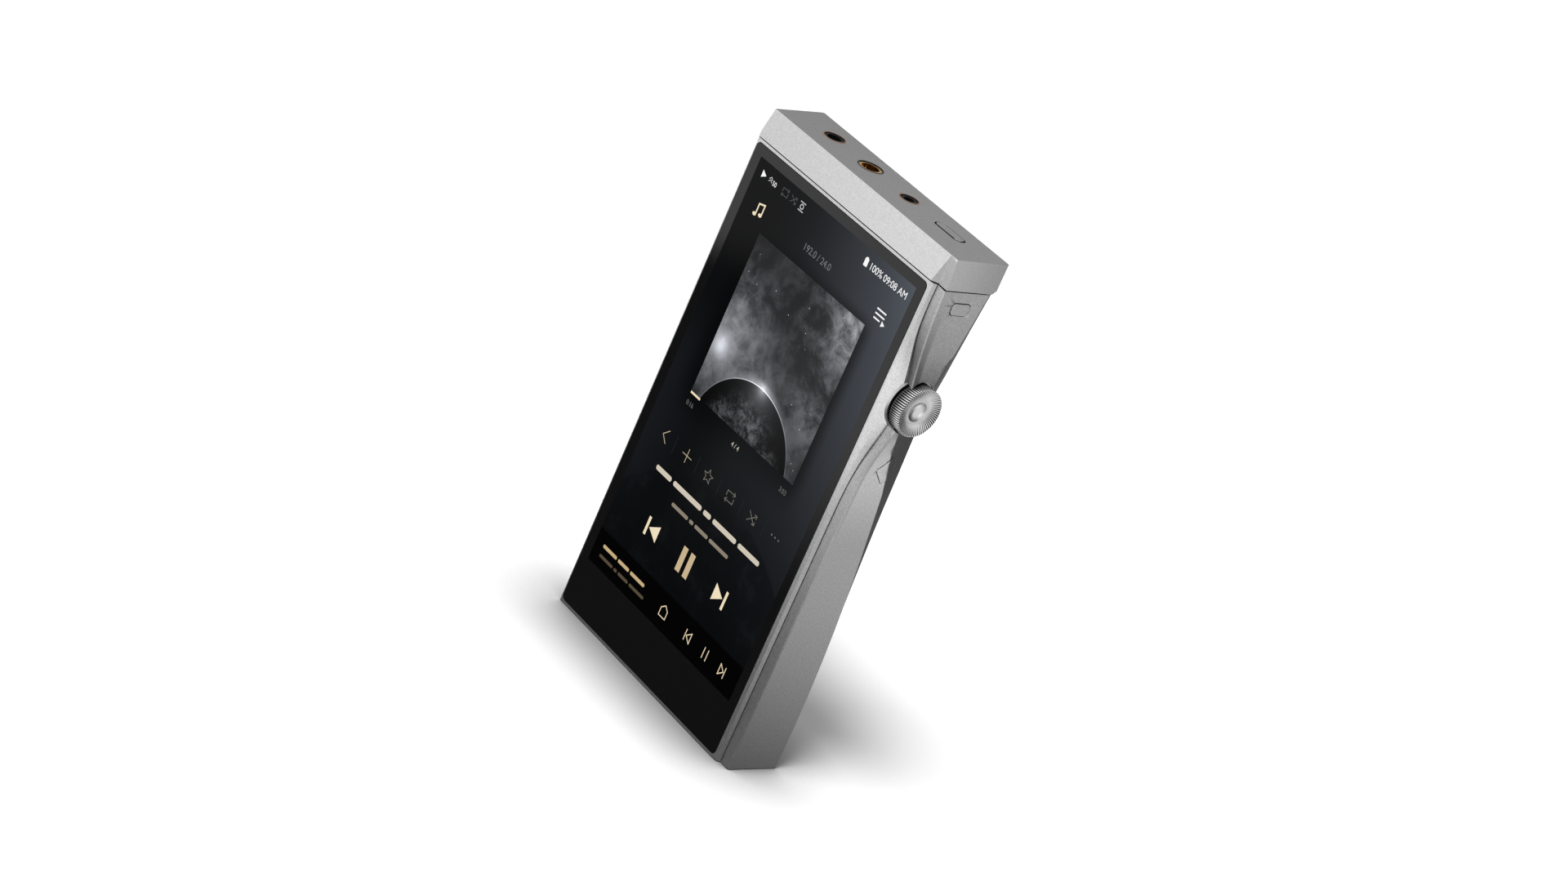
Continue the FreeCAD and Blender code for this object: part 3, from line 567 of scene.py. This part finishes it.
def digits(name, words, made):
    """Generic numerals on the screen. words are (text, x, z of the base line, height of a digit)."""
    joined = bmesh.new()
    for text, x, z, height in words:
        curve = bpy.data.curves.new(name, "FONT")
        curve.body = text
        curve.size = height / DIGIT_HEIGHT
        curve.extrude = (LAYER * DIGIT_LEVEL + SUNK) / 2
        holder = bpy.data.objects.new(name, curve)
        scene.collection.objects.link(holder)
        bpy.context.view_layer.update()
        solid = holder.evaluated_get(bpy.context.evaluated_depsgraph_get())
        mesh = bpy.data.meshes.new_from_object(solid)
        narrow = Matrix.Diagonal((DIGIT_WIDTH, 1.0, 1.0, 1.0))
        place = Matrix.Translation((x, FRONT + SUNK - curve.extrude, z))
        mesh.transform(place @ turn("X", 90) @ narrow)
        joined.from_mesh(mesh)
        bpy.data.objects.remove(holder)
        bpy.data.meshes.remove(mesh)
    bmesh.ops.remove_doubles(joined, verts=joined.verts, dist=1e-5)
    return new_piece(name, joined, made, "housing")


# ---- the lit screen -----------------------------------------------------------------------------
SCREEN = (-32.6, 28.9, 14.2, 125.6)      # left, right, bottom and top of the lit area
ART = (-23.0, 19.2, 67.6, 110.4)         # the same of the album picture
NAVIGATION_TOP = 23.3                    # upper edge of the black bar along the bottom
PALE, GOLD = linear(238, 222, 190), linear(200, 178, 142)


def background_material():
    """A dark blue grey wash over the arc of a huge faint disc, with a painted reflection that makes it
    lighter to the upper right and darker at its upper left.
    """
    g = material("screen_wash", BLACK, rough=0.10, Specular_IOR_Level=0.06, Emission_Strength=1.0)
    vector, (x, _, z) = g.place()
    # across and glow make a painted reflection of the studio, lighter to the upper right
    across = g.math("POWER", g.clamp((x + 30.0) * (1 / 60)), 1.4)
    glow = across * g.clamp((z - 18.0) * (1 / 108))
    left_glow = g.step(x, -14, -34) * g.step(g.math("ABSOLUTE", z - 62), 52, 8)
    disc = g.step(g.distance(x, z, (1.0, 7.5)), 45.3, 44.2)
    mist = g.noise(vector, 70, 3.0, 0.6)
    mottle = g.step(g.noise(vector, 110, 5.0, 0.7), 0.48, 0.72)
    left, right, low, high = ART
    near_x = g.step(x, left - 7, left + 2) * g.step(x, right + 4.5, right - 2)
    near_z = g.step(z, low - 9, low + 4) * g.step(z, high + 3.5, high - 3)
    level = 0.034 + glow * 0.30 + left_glow * 0.058 + (mist - 0.5) * 0.02
    level = level * (1.0 - disc * 0.28) + disc * mottle * 0.034
    level = level * (1.0 - near_x * near_z * 0.75)
    # painted reflection: the wash's upper left is darkened
    level = level * (1.0 - g.step(z, 60, 110) * g.step(x, 6, -26) * 0.55)
    g.feed(g.shader.inputs["Emission Color"], g.tint((0.88, 1.0, 1.22), g.shown(level)))
    return g.made


MOON, MOON_RADIUS = (-1.95, 62.2), 18.4
SUNRISE = (-1.7, 80.7)                   # the bright point on the moon's edge


def art_material():
    """A generic picture: grey clouds and stars over the lit edge of a moon."""
    g = material("album_art", BLACK, rough=0.10, Specular_IOR_Level=0.06, Emission_Strength=1.0)
    vector, (x, _, z) = g.place()
    billow = g.noise(vector, 75, 8.0, 0.62, 0.7)
    wisp = g.noise(vector, 190, 8.0, 0.68, 0.5)
    lean = g.step(g.math("ABSOLUTE", (z - 97) + x * 0.9), 5, 24)
    cloud = g.step(billow * 0.62 + wisp * 0.42, 0.42, 0.68)
    bright = cloud * (0.012 + 0.105 * lean)
    bright = bright + g.glow(x, z, (16.5, 107.0), 4.0) * (0.07 + cloud * 0.56)
    bright = bright + g.glow(x, z, (17.0, 84.0), 5.5) * (cloud * 0.20 + 0.02)
    bright = bright + g.glow(x, z, (-17.5, 90.0), 6.0) * (0.03 + cloud * 0.12)
    bright = bright + g.glow(x, z, (-20.2, 81.8), 2.4) * 0.72
    bright = bright * g.step(z, 70, 84, 0.75, 1.0) + 0.006
    star = g.step(g.cells(vector, 420), 0.085, 0.02) * g.step(wisp, 0.44, 0.60)
    bright = bright + star * 0.7
    out = g.distance(x, z, MOON)
    disc = g.step(out, MOON_RADIUS + 0.08, MOON_RADIUS - 0.10)
    ground = g.noise(vector, 420, 9.0, 0.8, 0.4)
    shade = g.step(g.noise(vector, 90, 3.0), 0.38, 0.62)
    soil = g.step(ground, 0.40, 0.66) * (0.008 + 0.135 * shade)
    soil = soil * g.step(out, MOON_RADIUS - 1.5, MOON_RADIUS - 8.5)
    soil = soil + g.glow(x, z, (-1.5, 79.0), 2.6) * 0.05
    flare = g.glow(x, z, SUNRISE, 1.1)
    limb = g.step(g.math("ABSOLUTE", out - MOON_RADIUS), 0.20, 0.02)
    limb = limb * (g.glow(x, z, SUNRISE, 6.5) * 0.95)
    halo = g.step(out, MOON_RADIUS + 2.2, MOON_RADIUS) * g.glow(x, z, SUNRISE, 4.0) * 0.35
    sky = (bright + halo) * (1.0 - disc)
    tone = sky + disc * soil + limb + flare * 0.45
    g.feed(g.shader.inputs["Emission Color"], g.tint((0.90, 0.93, 1.0), tone))
    return g.made


def triangle(tip_x, base_x, z, half):
    """The outline of a triangle that points along X."""
    return [(tip_x, z), (base_x, z - half), (base_x, z + half)]


def status_icons(white, grey):
    """The small marks and numerals along the top."""
    bright = [triangle(-28.45, -30.1, 122.5, 0.95),
              rectangle(11.05, 12.35, 121.45, 123.45, 0.15), rectangle(11.4, 12.0, 123.4, 123.7)]
    screen_piece("screen_status_bright", bright, white)
    marks = []
    for z in (122.1, 122.75):
        marks += path([(-27.15, z), (-26.6, z + 0.5), (-26.05, z)], 0.2)
    marks += [rectangle(-14.9, -12.9, 121.35, 121.6), rectangle(-14.9, -12.9, 123.4, 123.65)]
    marks += path(oval((-13.9, 122.5), 0.55, 0.55, 16), 0.24, True)
    screen_piece("screen_status_marks", marks, lit("ink_mark", linear(190, 190, 192)))
    dim = loop_icon((-20.6, 122.5), 1.1, 0.8, 0.16) + cross_icon((-17.2, 122.5), 1.0, 0.8, 0.16)
    screen_piece("screen_status_dim", dim, grey)
    digits("screen_clock", [("50", -25.75, 121.75, 1.2), ("100%", 13.1, 121.6, 1.75),
                            ("09:08 AM", 18.5, 121.6, 1.75)], white)


def loop_icon(centre, half_x, half_z, width):
    """Two arrows that chase each other round a rectangle."""
    x, z = centre
    tip = half_z * 0.45
    marks = []
    for half, rise in ((half_x, half_z), (-half_x, -half_z)):
        marks += path([(x - half, z - rise * 0.1), (x - half, z + rise), (x + half, z + rise)], width)
        back = math.copysign(tip, half)
        point = half + math.copysign(0.05, half)
        marks += path([(x + half - back, z + rise + tip), (x + point, z + rise),
                       (x + half - back, z + rise - tip)], width)
    return marks


def cross_icon(centre, half_x, half_z, width):
    """Two crossing arrows."""
    x, z = centre
    marks = []
    for sign in (1, -1):
        tip = (x + half_x, z + sign * half_z)
        marks += path([(x - half_x, z - sign * half_z), tip], width)
        head = [(tip[0] - half_x * 0.6, tip[1]), tip, (tip[0], tip[1] - sign * half_z * 0.6)]
        marks += path(head, width)
    return marks


def star_icon(centre, radius, width):
    """The outline of a star with five points."""
    points = []
    for i in range(10):
        reach = radius if i % 2 == 0 else radius * 0.45
        angle = math.radians(90 + 36 * i)
        points.append((centre[0] + reach * math.cos(angle), centre[1] + reach * math.sin(angle)))
    return path(points, width, True)


def head_icons(white):
    """The player's menu mark, a plain note, and the list mark."""
    stem = path([(-26.9, 113.3), (-26.9, 116.1), (-24.9, 116.6), (-24.9, 113.8)], 0.42)
    heads = [oval(centre, 0.62, 0.46, 20) for centre in ((-27.35, 113.3), (-25.35, 113.8))]
    screen_piece("screen_note_mark", stem + heads, lit("ink_pale_gold", PALE))
    lines = [rectangle(20.6, 24.0, z - 0.19, z + 0.19) for z in (115.7, 114.55)]
    lines += [rectangle(20.6, 22.9, 113.2, 113.58), triangle(24.85, 23.6, 113.2, 0.7)]
    screen_piece("screen_list_mark", lines, white)
    digits("screen_format", [("192.0 / 24.0", -8.4, 114.6, 1.75)],
           lit("ink_format", linear(112, 114, 118)))


def action_row():
    """The row of small outline icons below the picture, and the thin lines between them."""
    z = 53.9
    warm = lit("ink_warm", linear(178, 165, 138))
    faint = lit("ink_faint", linear(112, 108, 100))
    thin = 0.2
    arrow_and_plus = path([(-24.1, z + 1.7), (-25.9, z), (-24.1, z - 1.7)], 0.22)
    arrow_and_plus += path([(-17.4, z), (-13.9, z)], thin)
    arrow_and_plus += path([(-15.65, z - 1.75), (-15.65, z + 1.75)], thin)
    screen_piece("screen_row_warm", arrow_and_plus, warm)
    row = star_icon((-6.6, z - 0.05), 1.75, thin) + loop_icon((2.65, z), 1.45, 1.15, thin)
    row += cross_icon((11.75, z), 1.4, 1.2, thin)
    row += [oval((x, 54.4), 0.24, 0.24, 10) for x in (19.6, 20.95, 22.3)]
    screen_piece("screen_row_faint", row, faint)
    rules = [rectangle(x - 0.06, x + 0.06, 51.6, 56.2) for x in (-20.8, -11.4, -1.95, 7.2, 16.5)]
    screen_piece("screen_row_rules", rules, lit("ink_rule", linear(38, 40, 43)))


def word_bars(name, x, z, height, widths, made):
    """Plain bars that stand where a title would be, as wide as its words. They start at x, z."""
    bars = []
    for width in widths:
        bars.append(rectangle(x, x + width, z, z + height, height * 0.42))
        x += width + height * 0.75
    screen_piece(name, bars, made)


def transport_icons():
    """Large previous, pause and next icons, and the outlined ones in the bar below."""
    z = 32.65
    skips = [rectangle(-18.95, -18.1, 30.2, 35.1), triangle(-17.7, -14.0, z, 2.2),
             triangle(13.65, 10.1, z, 2.25), rectangle(14.1, 14.9, 30.2, 35.1)]
    screen_piece("screen_transport", skips, lit("ink_transport", PALE, 0.2))
    pause = [rectangle(-4.5, -2.75, 29.3, 35.9), rectangle(-1.4, 0.35, 29.3, 35.9)]
    screen_piece("screen_pause", pause, lit("ink_pause", GOLD, 0.2))
    low, high, width = 17.25, 20.0, 0.26
    middle = (low + high) / 2
    house = [(-3.35, low), (-0.75, low), (-0.75, 19.3), (-2.05, 20.35), (-3.35, 19.3)]
    marks = path(house, width, True)
    for x in (7.4, 15.15, 16.6, 23.9):
        marks += path([(x, low), (x, high)], width)
    for tip, base in ((7.85, 9.5), (23.5, 21.9)):
        marks += path([(tip, middle), (base, low), (base, high)], width, True)
    screen_piece("screen_bar_marks", marks, lit("ink_bar", linear(222, 204, 172)))


def make_screen():
    """The lit screen as a player's page. Its pieces stand for the display's panel."""
    left, right, low, high = SCREEN
    wash = screen_piece("screen_wash", [rectangle(left, right, NAVIGATION_TOP, high)],
                        background_material(), 1)
    bar = screen_piece("screen_bar", [rectangle(left, right, low, NAVIGATION_TOP)],
                       lit("ink_black", (0.0004, 0.0004, 0.0005)), 1)
    art = screen_piece("screen_art", [rectangle(*ART)], art_material(), 2)
    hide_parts("display_panel")
    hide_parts("display_panel")
    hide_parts("display_panel")
    white = lit("ink_white", linear(246, 246, 246))
    grey = lit("ink_grey", linear(84, 86, 90))
    status_icons(white, grey)
    head_icons(white)
    action_row()
    screen_piece("screen_progress", [rectangle(-23.0, -19.2, 67.1, 67.65)],
                 lit("ink_progress", PALE), 3)
    digits("screen_times", [("0:16", -23.1, 64.1, 1.25), ("3:03", 15.7, 64.1, 1.25)],
           lit("ink_times", linear(104, 102, 100)))
    digits("screen_count", [("4 / 4", -4.0, 64.1, 1.25)], lit("ink_count", linear(190, 184, 172)))
    word_bars("screen_title", -23.6, 45.5, 1.3, (6.4, 11.9, 3.0, 9.6, 8.6),
              lit("ink_title", linear(206, 197, 180)))
    word_bars("screen_artist", -13.9, 41.2, 0.95, (6.8, 1.6, 5.4, 7.8),
              lit("ink_artist", linear(138, 128, 114)))
    word_bars("screen_bar_title", -29.4, 19.4, 0.9, (5.9, 4.7, 6.1),
              lit("ink_bar_title", linear(196, 172, 128)))
    word_bars("screen_bar_artist", -29.4, 16.8, 0.8, (5.7, 1.3, 4.3, 6.3),
              lit("ink_bar_artist", linear(84, 74, 58)))
    transport_icons()


# ---- the volume wheel ---------------------------------------------------------------------------
GROOVE = 0.38                # depth of the wheel's grooves
GROOVES, PER_GROOVE = 66, 8  # how many there are, and the steps of the mesh across each
BORE = 1.52                  # radius of the hole for the shaft
CLEAR = 0.02                 # how far the knurl stays inside the CAD rim
FOOT, CORNER = 0.28, 0.34    # the plain foot behind the knurl, and the rounding in front of it


def knurled_metal():
    """Plated steel, bright on the ridges, with painted shade that darkens its colour down in the
    grooves and towards the back.
    """
    g = material("knurled_steel", metallic=1.0)
    vector, (x, _, _) = g.place()
    deep = g.node("ShaderNodeAttribute", attribute_name="hollow")
    groove = g.step(Field(g, deep.outputs["Fac"]), 0.02, 0.55)
    back = g.step(x, WHEEL_LOW.x + 0.6, WHEEL_LOW.x + 3.6, 0.10, 1.0)
    stain = g.noise(vector, 900, 2.0)
    # painted shade: the colour darkens in the grooves and towards the back
    tone = (1.0 - groove * 0.94) * back * (0.95 + stain * 0.1)
    g.feed(g.shader.inputs["Base Color"], g.tint((0.96, 0.96, 0.96), tone))
    g.feed(g.shader.inputs["Roughness"], 0.22 + stain * 0.06 + groove * 0.3)
    return g.made


def wheel_profile():
    """Rows of x, radius, depth of the grooves and how many grooves they have turned, and the first
    row that is cut along X, since it lies on the face."""
    back, front = WHEEL_LOW.x, WHEEL_HIGH.x
    outer = radius_of("wheel_rim") - CLEAR
    hub_low, hub_high = span("wheel_cap")
    hub = radius_of("wheel_cap") + CLEAR
    edge_twist, face_twist, hub_twist = -0.5, -0.9, 1.1
    rows = [(back, BORE, 0, 0), (back, outer - 0.53, 0, 0), (back + 0.15, outer - 0.30, 0, 0)]
    steps = 14
    for i in range(steps + 1):
        t = i / steps
        x = back + FOOT + (front - back - FOOT - CORNER) * t
        rows.append((x, outer, GROOVE * min(1.0, 8 * t + 0.1), edge_twist * t))
    steps = 4
    face_start = len(rows) + steps // 2
    for i in range(1, steps + 1):
        t = i / steps
        angle = math.radians(90 * t)
        rows.append((front - CORNER + CORNER * math.sin(angle), outer - CORNER * (1 - math.cos(angle)),
                     GROOVE, edge_twist + (face_twist - edge_twist) * t))
    steps = 18
    for i in range(1, steps + 1):
        t = i / steps
        dish = (front - hub_high.x) * (1 - (1 - t) ** 1.7)
        rows.append((front - dish, outer - CORNER + (hub - outer + CORNER) * t,
                     GROOVE * max(0.0, 1 - 1.2 * t) ** 0.9, face_twist + (hub_twist - face_twist) * t))
    rows += [(hub_low.x, hub, 0, hub_twist), (hub_low.x, BORE, 0, hub_twist)]
    return rows, face_start


def make_wheel(made):
    """The rim: slanted grooves round its edge, which run on over the dished face and die away."""
    rows, face_start = wheel_profile()
    count = GROOVES * PER_GROOVE
    bm = bmesh.new()
    hollow = bm.verts.layers.float.new("hollow")
    loops = []
    for index, (x, radius, depth, twist) in enumerate(rows):
        loop = []
        for k in range(count):
            phase = (k + twist * PER_GROOVE) / PER_GROOVE
            cut = depth * (1 - abs(math.sin(math.pi * phase)) ** 0.75)
            place, reach = (x - cut, radius) if index >= face_start else (x, radius - cut)
            angle = 2 * math.pi * k / count
            loop.append(bm.verts.new((place, WHEEL_CENTRE.y + reach * math.sin(angle),
                                      WHEEL_CENTRE.z + reach * math.cos(angle))))
            loop[-1][hollow] = cut / GROOVE
        loops.append(loop)
    for first, second in zip(loops, loops[1:] + loops[:1]):
        bridge(bm, first, second)
    wheel = new_piece("wheel_knurl", bm, made, "volume_wheel", True)
    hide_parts("wheel_rim")


# ---- marks and small parts ----------------------------------------------------------------------
def key_marks(made):
    """Raised marks on the three track keys in the left wall."""
    proud, sunk = 0.008, 0.02
    for name in TRACK_KEYS:
        low, high = span(name)
        y, z = (low.y + high.y) / 2, (low.z + high.z) / 2
        face = low.x
        sign = 1 if name == "next_key" else -1
        if name == "play_key":
            marks = [[(y - 0.5, z - 0.6), (y - 0.5, z + 0.6), (y + 0.45, z)],
                     rectangle(y + 0.6, y + 0.8, z - 0.6, z + 0.6)]
        else:
            marks = [[(y - 0.6, z), (y + 0.6, z), (y, z + sign * 0.8)],
                     rectangle(y - 0.6, y + 0.6, z + sign - 0.1, z + sign + 0.1)]
        bm = bmesh.new()
        for outline in marks:
            add_prism(bm, outline, lambda a, b: (face + sunk, a, b),
                      lambda a, b: (face - proud, a, b))
        new_piece(name + "_mark", bm, made, name.replace("_key", "_button"))


def usb_contacts(made):
    """The row of gold contacts on both faces of the charging port's tongue."""
    low, high = span("usb_tongue")
    pads, half_width, margin, proud = 12, 0.13, 0.3, 0.02
    pitch = (high.x - low.x - 2 * margin) / pads
    bm = bmesh.new()
    for i in range(pads):
        x = low.x + margin + pitch * (i + 0.5)
        pad = rectangle(x - half_width, x + half_width, low.z + 0.5, high.z - 0.8)
        for face, out in ((low.y, -proud), (high.y, proud)):
            add_prism(bm, pad, lambda a, b: (a, face - out, b), lambda a, b: (a, face + out, b))
    new_piece("usb_contacts", bm, made, "housing")


def jack_contacts(made):
    """Bent spring leaves inside each jack's bore."""
    depths = (3.2, 6.4, 9.6)
    half_width, thick, length, bend = 0.35, 0.12, 2.0, 0.42
    steps = 8
    mounts = {mount["name"]: mount for mount in frame["record"]["mounts"]}
    for order, name in enumerate(JACKS):
        bore = mounts[f"jack_{name}_bore"]
        x, y, _ = [v / MM for v in bore["pos_m"]]
        radius = bore["dims"]["r_mm"]
        top = span(f"jack_{name}_ring")[1].z
        bm = bmesh.new()
        for index, depth in enumerate(depths):
            start = math.radians(120 * index + 40 * order)
            loops = []
            for i in range(steps + 1):
                t = i / steps
                reach = radius - 0.04 - bend * math.sin(math.pi * t)
                z = top - depth + length * (t - 0.5)
                loop = []
                for side, inward in ((-1, 0.0), (1, 0.0), (1, thick), (-1, thick)):
                    angle = start + side * half_width / radius
                    loop.append(bm.verts.new((x + (reach - inward) * math.cos(angle),
                                              y + (reach - inward) * math.sin(angle), z)))
                loops.append(loop)
            bm.faces.new(loops[0])
            bm.faces.new(reversed(loops[-1]))
            for first, second in zip(loops, loops[1:]):
                bridge(bm, first, second)
        new_piece(f"jack_{name}_contacts", bm, made, "module", True)


# ---- finish of the CAD nodes --------------------------------------------------------------------
def soften(node, width, segments=2):
    """Small rounded edges, which catch the light."""
    thing = nodes[node]
    weld = thing.modifiers.new("weld", "WELD")
    weld.merge_threshold = 1e-6
    bevel = thing.modifiers.new("bevel", "BEVEL")
    bevel.width = width * MM
    bevel.segments = segments
    bevel.limit_method = "ANGLE"
    bevel.angle_limit = math.radians(28)
    bevel.use_clamp_overlap = True
    bevel.harden_normals = True
    weighted = thing.modifiers.new("weighted", "WEIGHTED_NORMAL")
    weighted.keep_sharp = True


RIM_COLOURS = {"3_5": COPPER, "4_4": DARK_PLATING, "2_5": COPPER}
RIM_WIDTH = 0.28


def finish_nodes():
    """Gives every CAD node its material, and the outside ones their rounded edges."""
    # Copies of one blasted metal: body, shell, head, power and keys differ mainly by the painted shade
    # and painted highlights that their ..._shade functions give.
    body = blasted_metal("blasted_body", BODY_COLOUR, shade=strip_shade)
    shell = blasted_metal("blasted_shell", BODY_COLOUR, shade=shell_shade)
    head = blasted_metal("blasted_head", HEAD_COLOUR, 0.34, 0.75, head_shade)
    power = blasted_metal("blasted_power_key", HEAD_COLOUR, 0.34, 0.9, key_shade)
    keys = blasted_metal("blasted_keys", BODY_COLOUR, 0.32, 0.9, side_shade)
    steel = turned_metal("plain_steel", (0.46, 0.46, 0.47), 0.32)
    inner = turned_metal("machined_inside", (0.34, 0.34, 0.36), 0.45)
    dark_case = blasted_metal("dark_case", (0.10, 0.10, 0.11), 0.45)
    gold = turned_metal("gold_plate", (0.95, 0.62, 0.22), 0.16)
    black = moulded("black_plastic", (0.006, 0.006, 0.0065), 0.5, gloss=0.15)
    chip = moulded("chip_epoxy", (0.018, 0.018, 0.020), 0.55)
    board = board_material()
    polish_and_painted_shade = polished_hollow()
    light_guide = light_guide_material()
    amber = moulded("amber_film", (0.55, 0.24, 0.03), 0.35)
    finishes = {
        body: ["display_frame"],
        shell: ["housing_shell"],
        head: ["module_cap"],
        keys: ["function_key", "release_key", *TRACK_KEYS],
        power: ["power_key"],
        steel: ["chassis_screws", "usb_receptacle", "processor_shield", "module_shield", "card_socket",
                "release_latch", "clock_oscillators", "wheel_shaft"],
        inner: ["mid_plate", "bay_divider"],
        dark_case: ["module_case", "module_lid"],
        gold: ["jack_4_4_sleeve", "rear_cover_studs", "wheel_bushing"],
        black: ["usb_tongue", "module_socket", "module_guide", "module_plug", "track_switches",
                "function_switch", "power_switch", "wheel_encoder", "jack_3_5_body", "jack_4_4_body",
                "jack_2_5_body"],
        light_guide: ["wheel_light_ring"],
        chip: ["processor_chips", "converter_chips", "amplifier_chips"],
        board: ["main_board", "io_board", "module_board", "power_switch_board", "track_switch_board"],
        polish_and_painted_shade: ["wheel_cap"],
        amber: ["display_flex", "battery_lead"],
        front_glass(): ["cover_glass"],
        back_panel(): ["rear_cover"],
        wrap_material(): ["battery"],
        moulded("tantalum", (0.60, 0.36, 0.04), 0.4): ["output_capacitors"],
    }
    for name in JACKS:
        low, high = span(f"jack_{name}_ring")
        middle = (low + high) / 2
        edge = (high.x - low.x) / 2 - RIM_WIDTH
        made = ring_material(f"ring_{name}", (middle.x, middle.y), edge, RIM_COLOURS[name])
        finishes[made] = [f"jack_{name}_ring"]
    for made, names in finishes.items():
        for name in names:
            thing = nodes[name]
            thing.data.materials.clear()
            thing.data.materials.append(made)
    for name in ("housing_shell", "display_frame", "release_key", "function_key", "power_key",
                 *TRACK_KEYS):
        soften(name, 0.10)
    for name in ("module_cap", "rear_cover"):
        soften(name, 0.2, 3)
    soften("cover_glass", 0.06)
    return gold


# ---- floor and light ----------------------------------------------------------------------------
# half the width of each sheet and its height, in metres
PAPER_HALF, PAPER_HEIGHT = 6.0, -0.0002
POOL_HALF, POOL_HEIGHT = 0.3, -0.0004
# level directions across and along the line in which the glass mirrors the table
MIRROR_ACROSS, MIRROR_ALONG = (0.730, -0.683), (-0.683, -0.730)


def flat_sheet(name, half, height, made):
    """A square sheet that lies level round the origin. It belongs to the studio."""
    bm = bmesh.new()
    bm.faces.new([bm.verts.new((x * half, y * half, height))
                  for x, y in ((-1, -1), (1, -1), (1, 1), (-1, 1))])
    mesh = bpy.data.meshes.new(name)
    bm.to_mesh(mesh)
    bm.free()
    mesh.materials.append(made)
    sheet = bpy.data.objects.new(name, mesh)
    scene.collection.objects.link(sheet)
    sheet.visible_shadow = False
    return sheet


def make_floor():
    """White paper with a painted contact shadow, darker where the object stands on it. The metal
    doesn't mirror it.
    """
    g = material("floor_paper", rough=0.9, Specular_IOR_Level=0.0)
    vector, _ = g.place()
    # painted shadow: ambient occlusion darkens the paper's colour round the object's foot
    contact = g.node("ShaderNodeAmbientOcclusion", samples=12)
    contact.inputs["Distance"].default_value = 0.022
    shadow = g.math("POWER", Field(g, contact.outputs["AO"]), 1.6)
    mottle = 0.99 + g.noise(vector, 30, 2.0) * 0.02
    g.feed(g.shader.inputs["Base Color"], g.tint((0.93, 0.93, 0.93), shadow * mottle))
    paper = flat_sheet("floor", PAPER_HALF, PAPER_HEIGHT, g.made)
    paper.visible_glossy = False


def make_pool():
    """A dark sheet of painted shade that only reflections see: a soft dark pool round the object's
    foot, in place of the table's shadow, and a dark card that lies to the left of the line in which
    the glass mirrors the table."""
    g = material("pool_shade", BLACK, Specular_IOR_Level=0.0, Emission_Strength=1.0)
    g.made.blend_method = "BLEND"
    g.shader.inputs["Emission Color"].default_value = (0.12, 0.12, 0.12, 1.0)
    _, (x, y, _) = g.place()
    round_foot = g.step(g.distance(x, y, (0.0, -50.0)), 45, 200, 1.0, 0.0)
    beside = g.project(x, y, MIRROR_ACROSS)
    along = g.project(x, y, MIRROR_ALONG)
    card = g.step(beside, 14, -12) * g.step(along, 345, 300) * g.step(along, 0, 40)
    g.feed(g.shader.inputs["Alpha"], g.math("MAXIMUM", round_foot, card))
    pool = flat_sheet("floor_shade", POOL_HALF, POOL_HEIGHT, g.made)
    pool.visible_camera = False
    pool.visible_diffuse = False


def make_world():
    """A soft studio as a function of direction: broad bright and dark fields round the object."""
    world = bpy.data.worlds.new("studio")
    world.use_nodes = True
    scene.world = world
    g = Graph(world.node_tree)
    coordinate = g.node("ShaderNodeTexCoord")
    direction = Field(g, coordinate.outputs["Generated"])
    # direction, the cosines at which the field starts and is full, and its strength
    fields = (
        ((-0.66, -0.72, -0.25), 0.50, 0.93, 1.15),
        ((0.60, -0.70, -0.36), 0.66, 0.95, 0.80),
        ((0.80, 0.50, -0.36), 0.76, 0.95, 0.52),
        ((-0.60, 0.70, 0.40), 0.60, 0.98, 0.30),
        ((-0.10, -0.30, 1.0), 0.40, 0.95, 0.80),
        ((1.0, -0.05, 0.12), 0.80, 0.98, 0.70),
        ((0.15, 0.70, -0.70), 0.90, 0.985, 0.45),
    )
    total = 0.10
    for aim, start, full, strength in fields:
        dot = g.node("ShaderNodeVectorMath", operation="DOT_PRODUCT")
        g.feed(dot.inputs[0], direction)
        dot.inputs[1].default_value = Vector(aim).normalized()
        total = g.step(Field(g, dot.outputs["Value"]), start, full) * strength + total
    background = world.node_tree.nodes["Background"]
    g.feed(background.inputs["Strength"], total)
    background.inputs["Color"].default_value = (1.0, 1.0, 1.0, 1.0)


def make_ceiling_lights():
    """Broad soft lights from above, for the floor and its shadow. The metal doesn't mirror them."""
    scene.world.cycles_visibility.diffuse = False
    # name, direction of travel, strength, and angle across the light in degrees
    lights = (("front_light", (-0.04, 0.37, -1.0), 2.9, 17),
              ("rear_light", (-0.10, -0.08, -1.0), 0.95, 40))
    for name, travel, strength, across in lights:
        data = bpy.data.lights.new(name, "SUN")
        data.energy = strength
        data.angle = math.radians(across)
        lamp = bpy.data.objects.new(name, data)
        lamp.rotation_euler = Vector(travel).to_track_quat("-Z", "Y").to_euler()
        lamp.visible_glossy = False
        scene.collection.objects.link(lamp)


make_camera()
make_floor()
make_pool()
make_world()
make_ceiling_lights()
gold_finish = finish_nodes()
make_screen()
make_wheel(knurled_metal())
key_marks(moulded("mark_grey", (0.08, 0.08, 0.085), 0.4))
usb_contacts(gold_finish)
jack_contacts(gold_finish)
scene.view_settings.view_transform = "Standard"
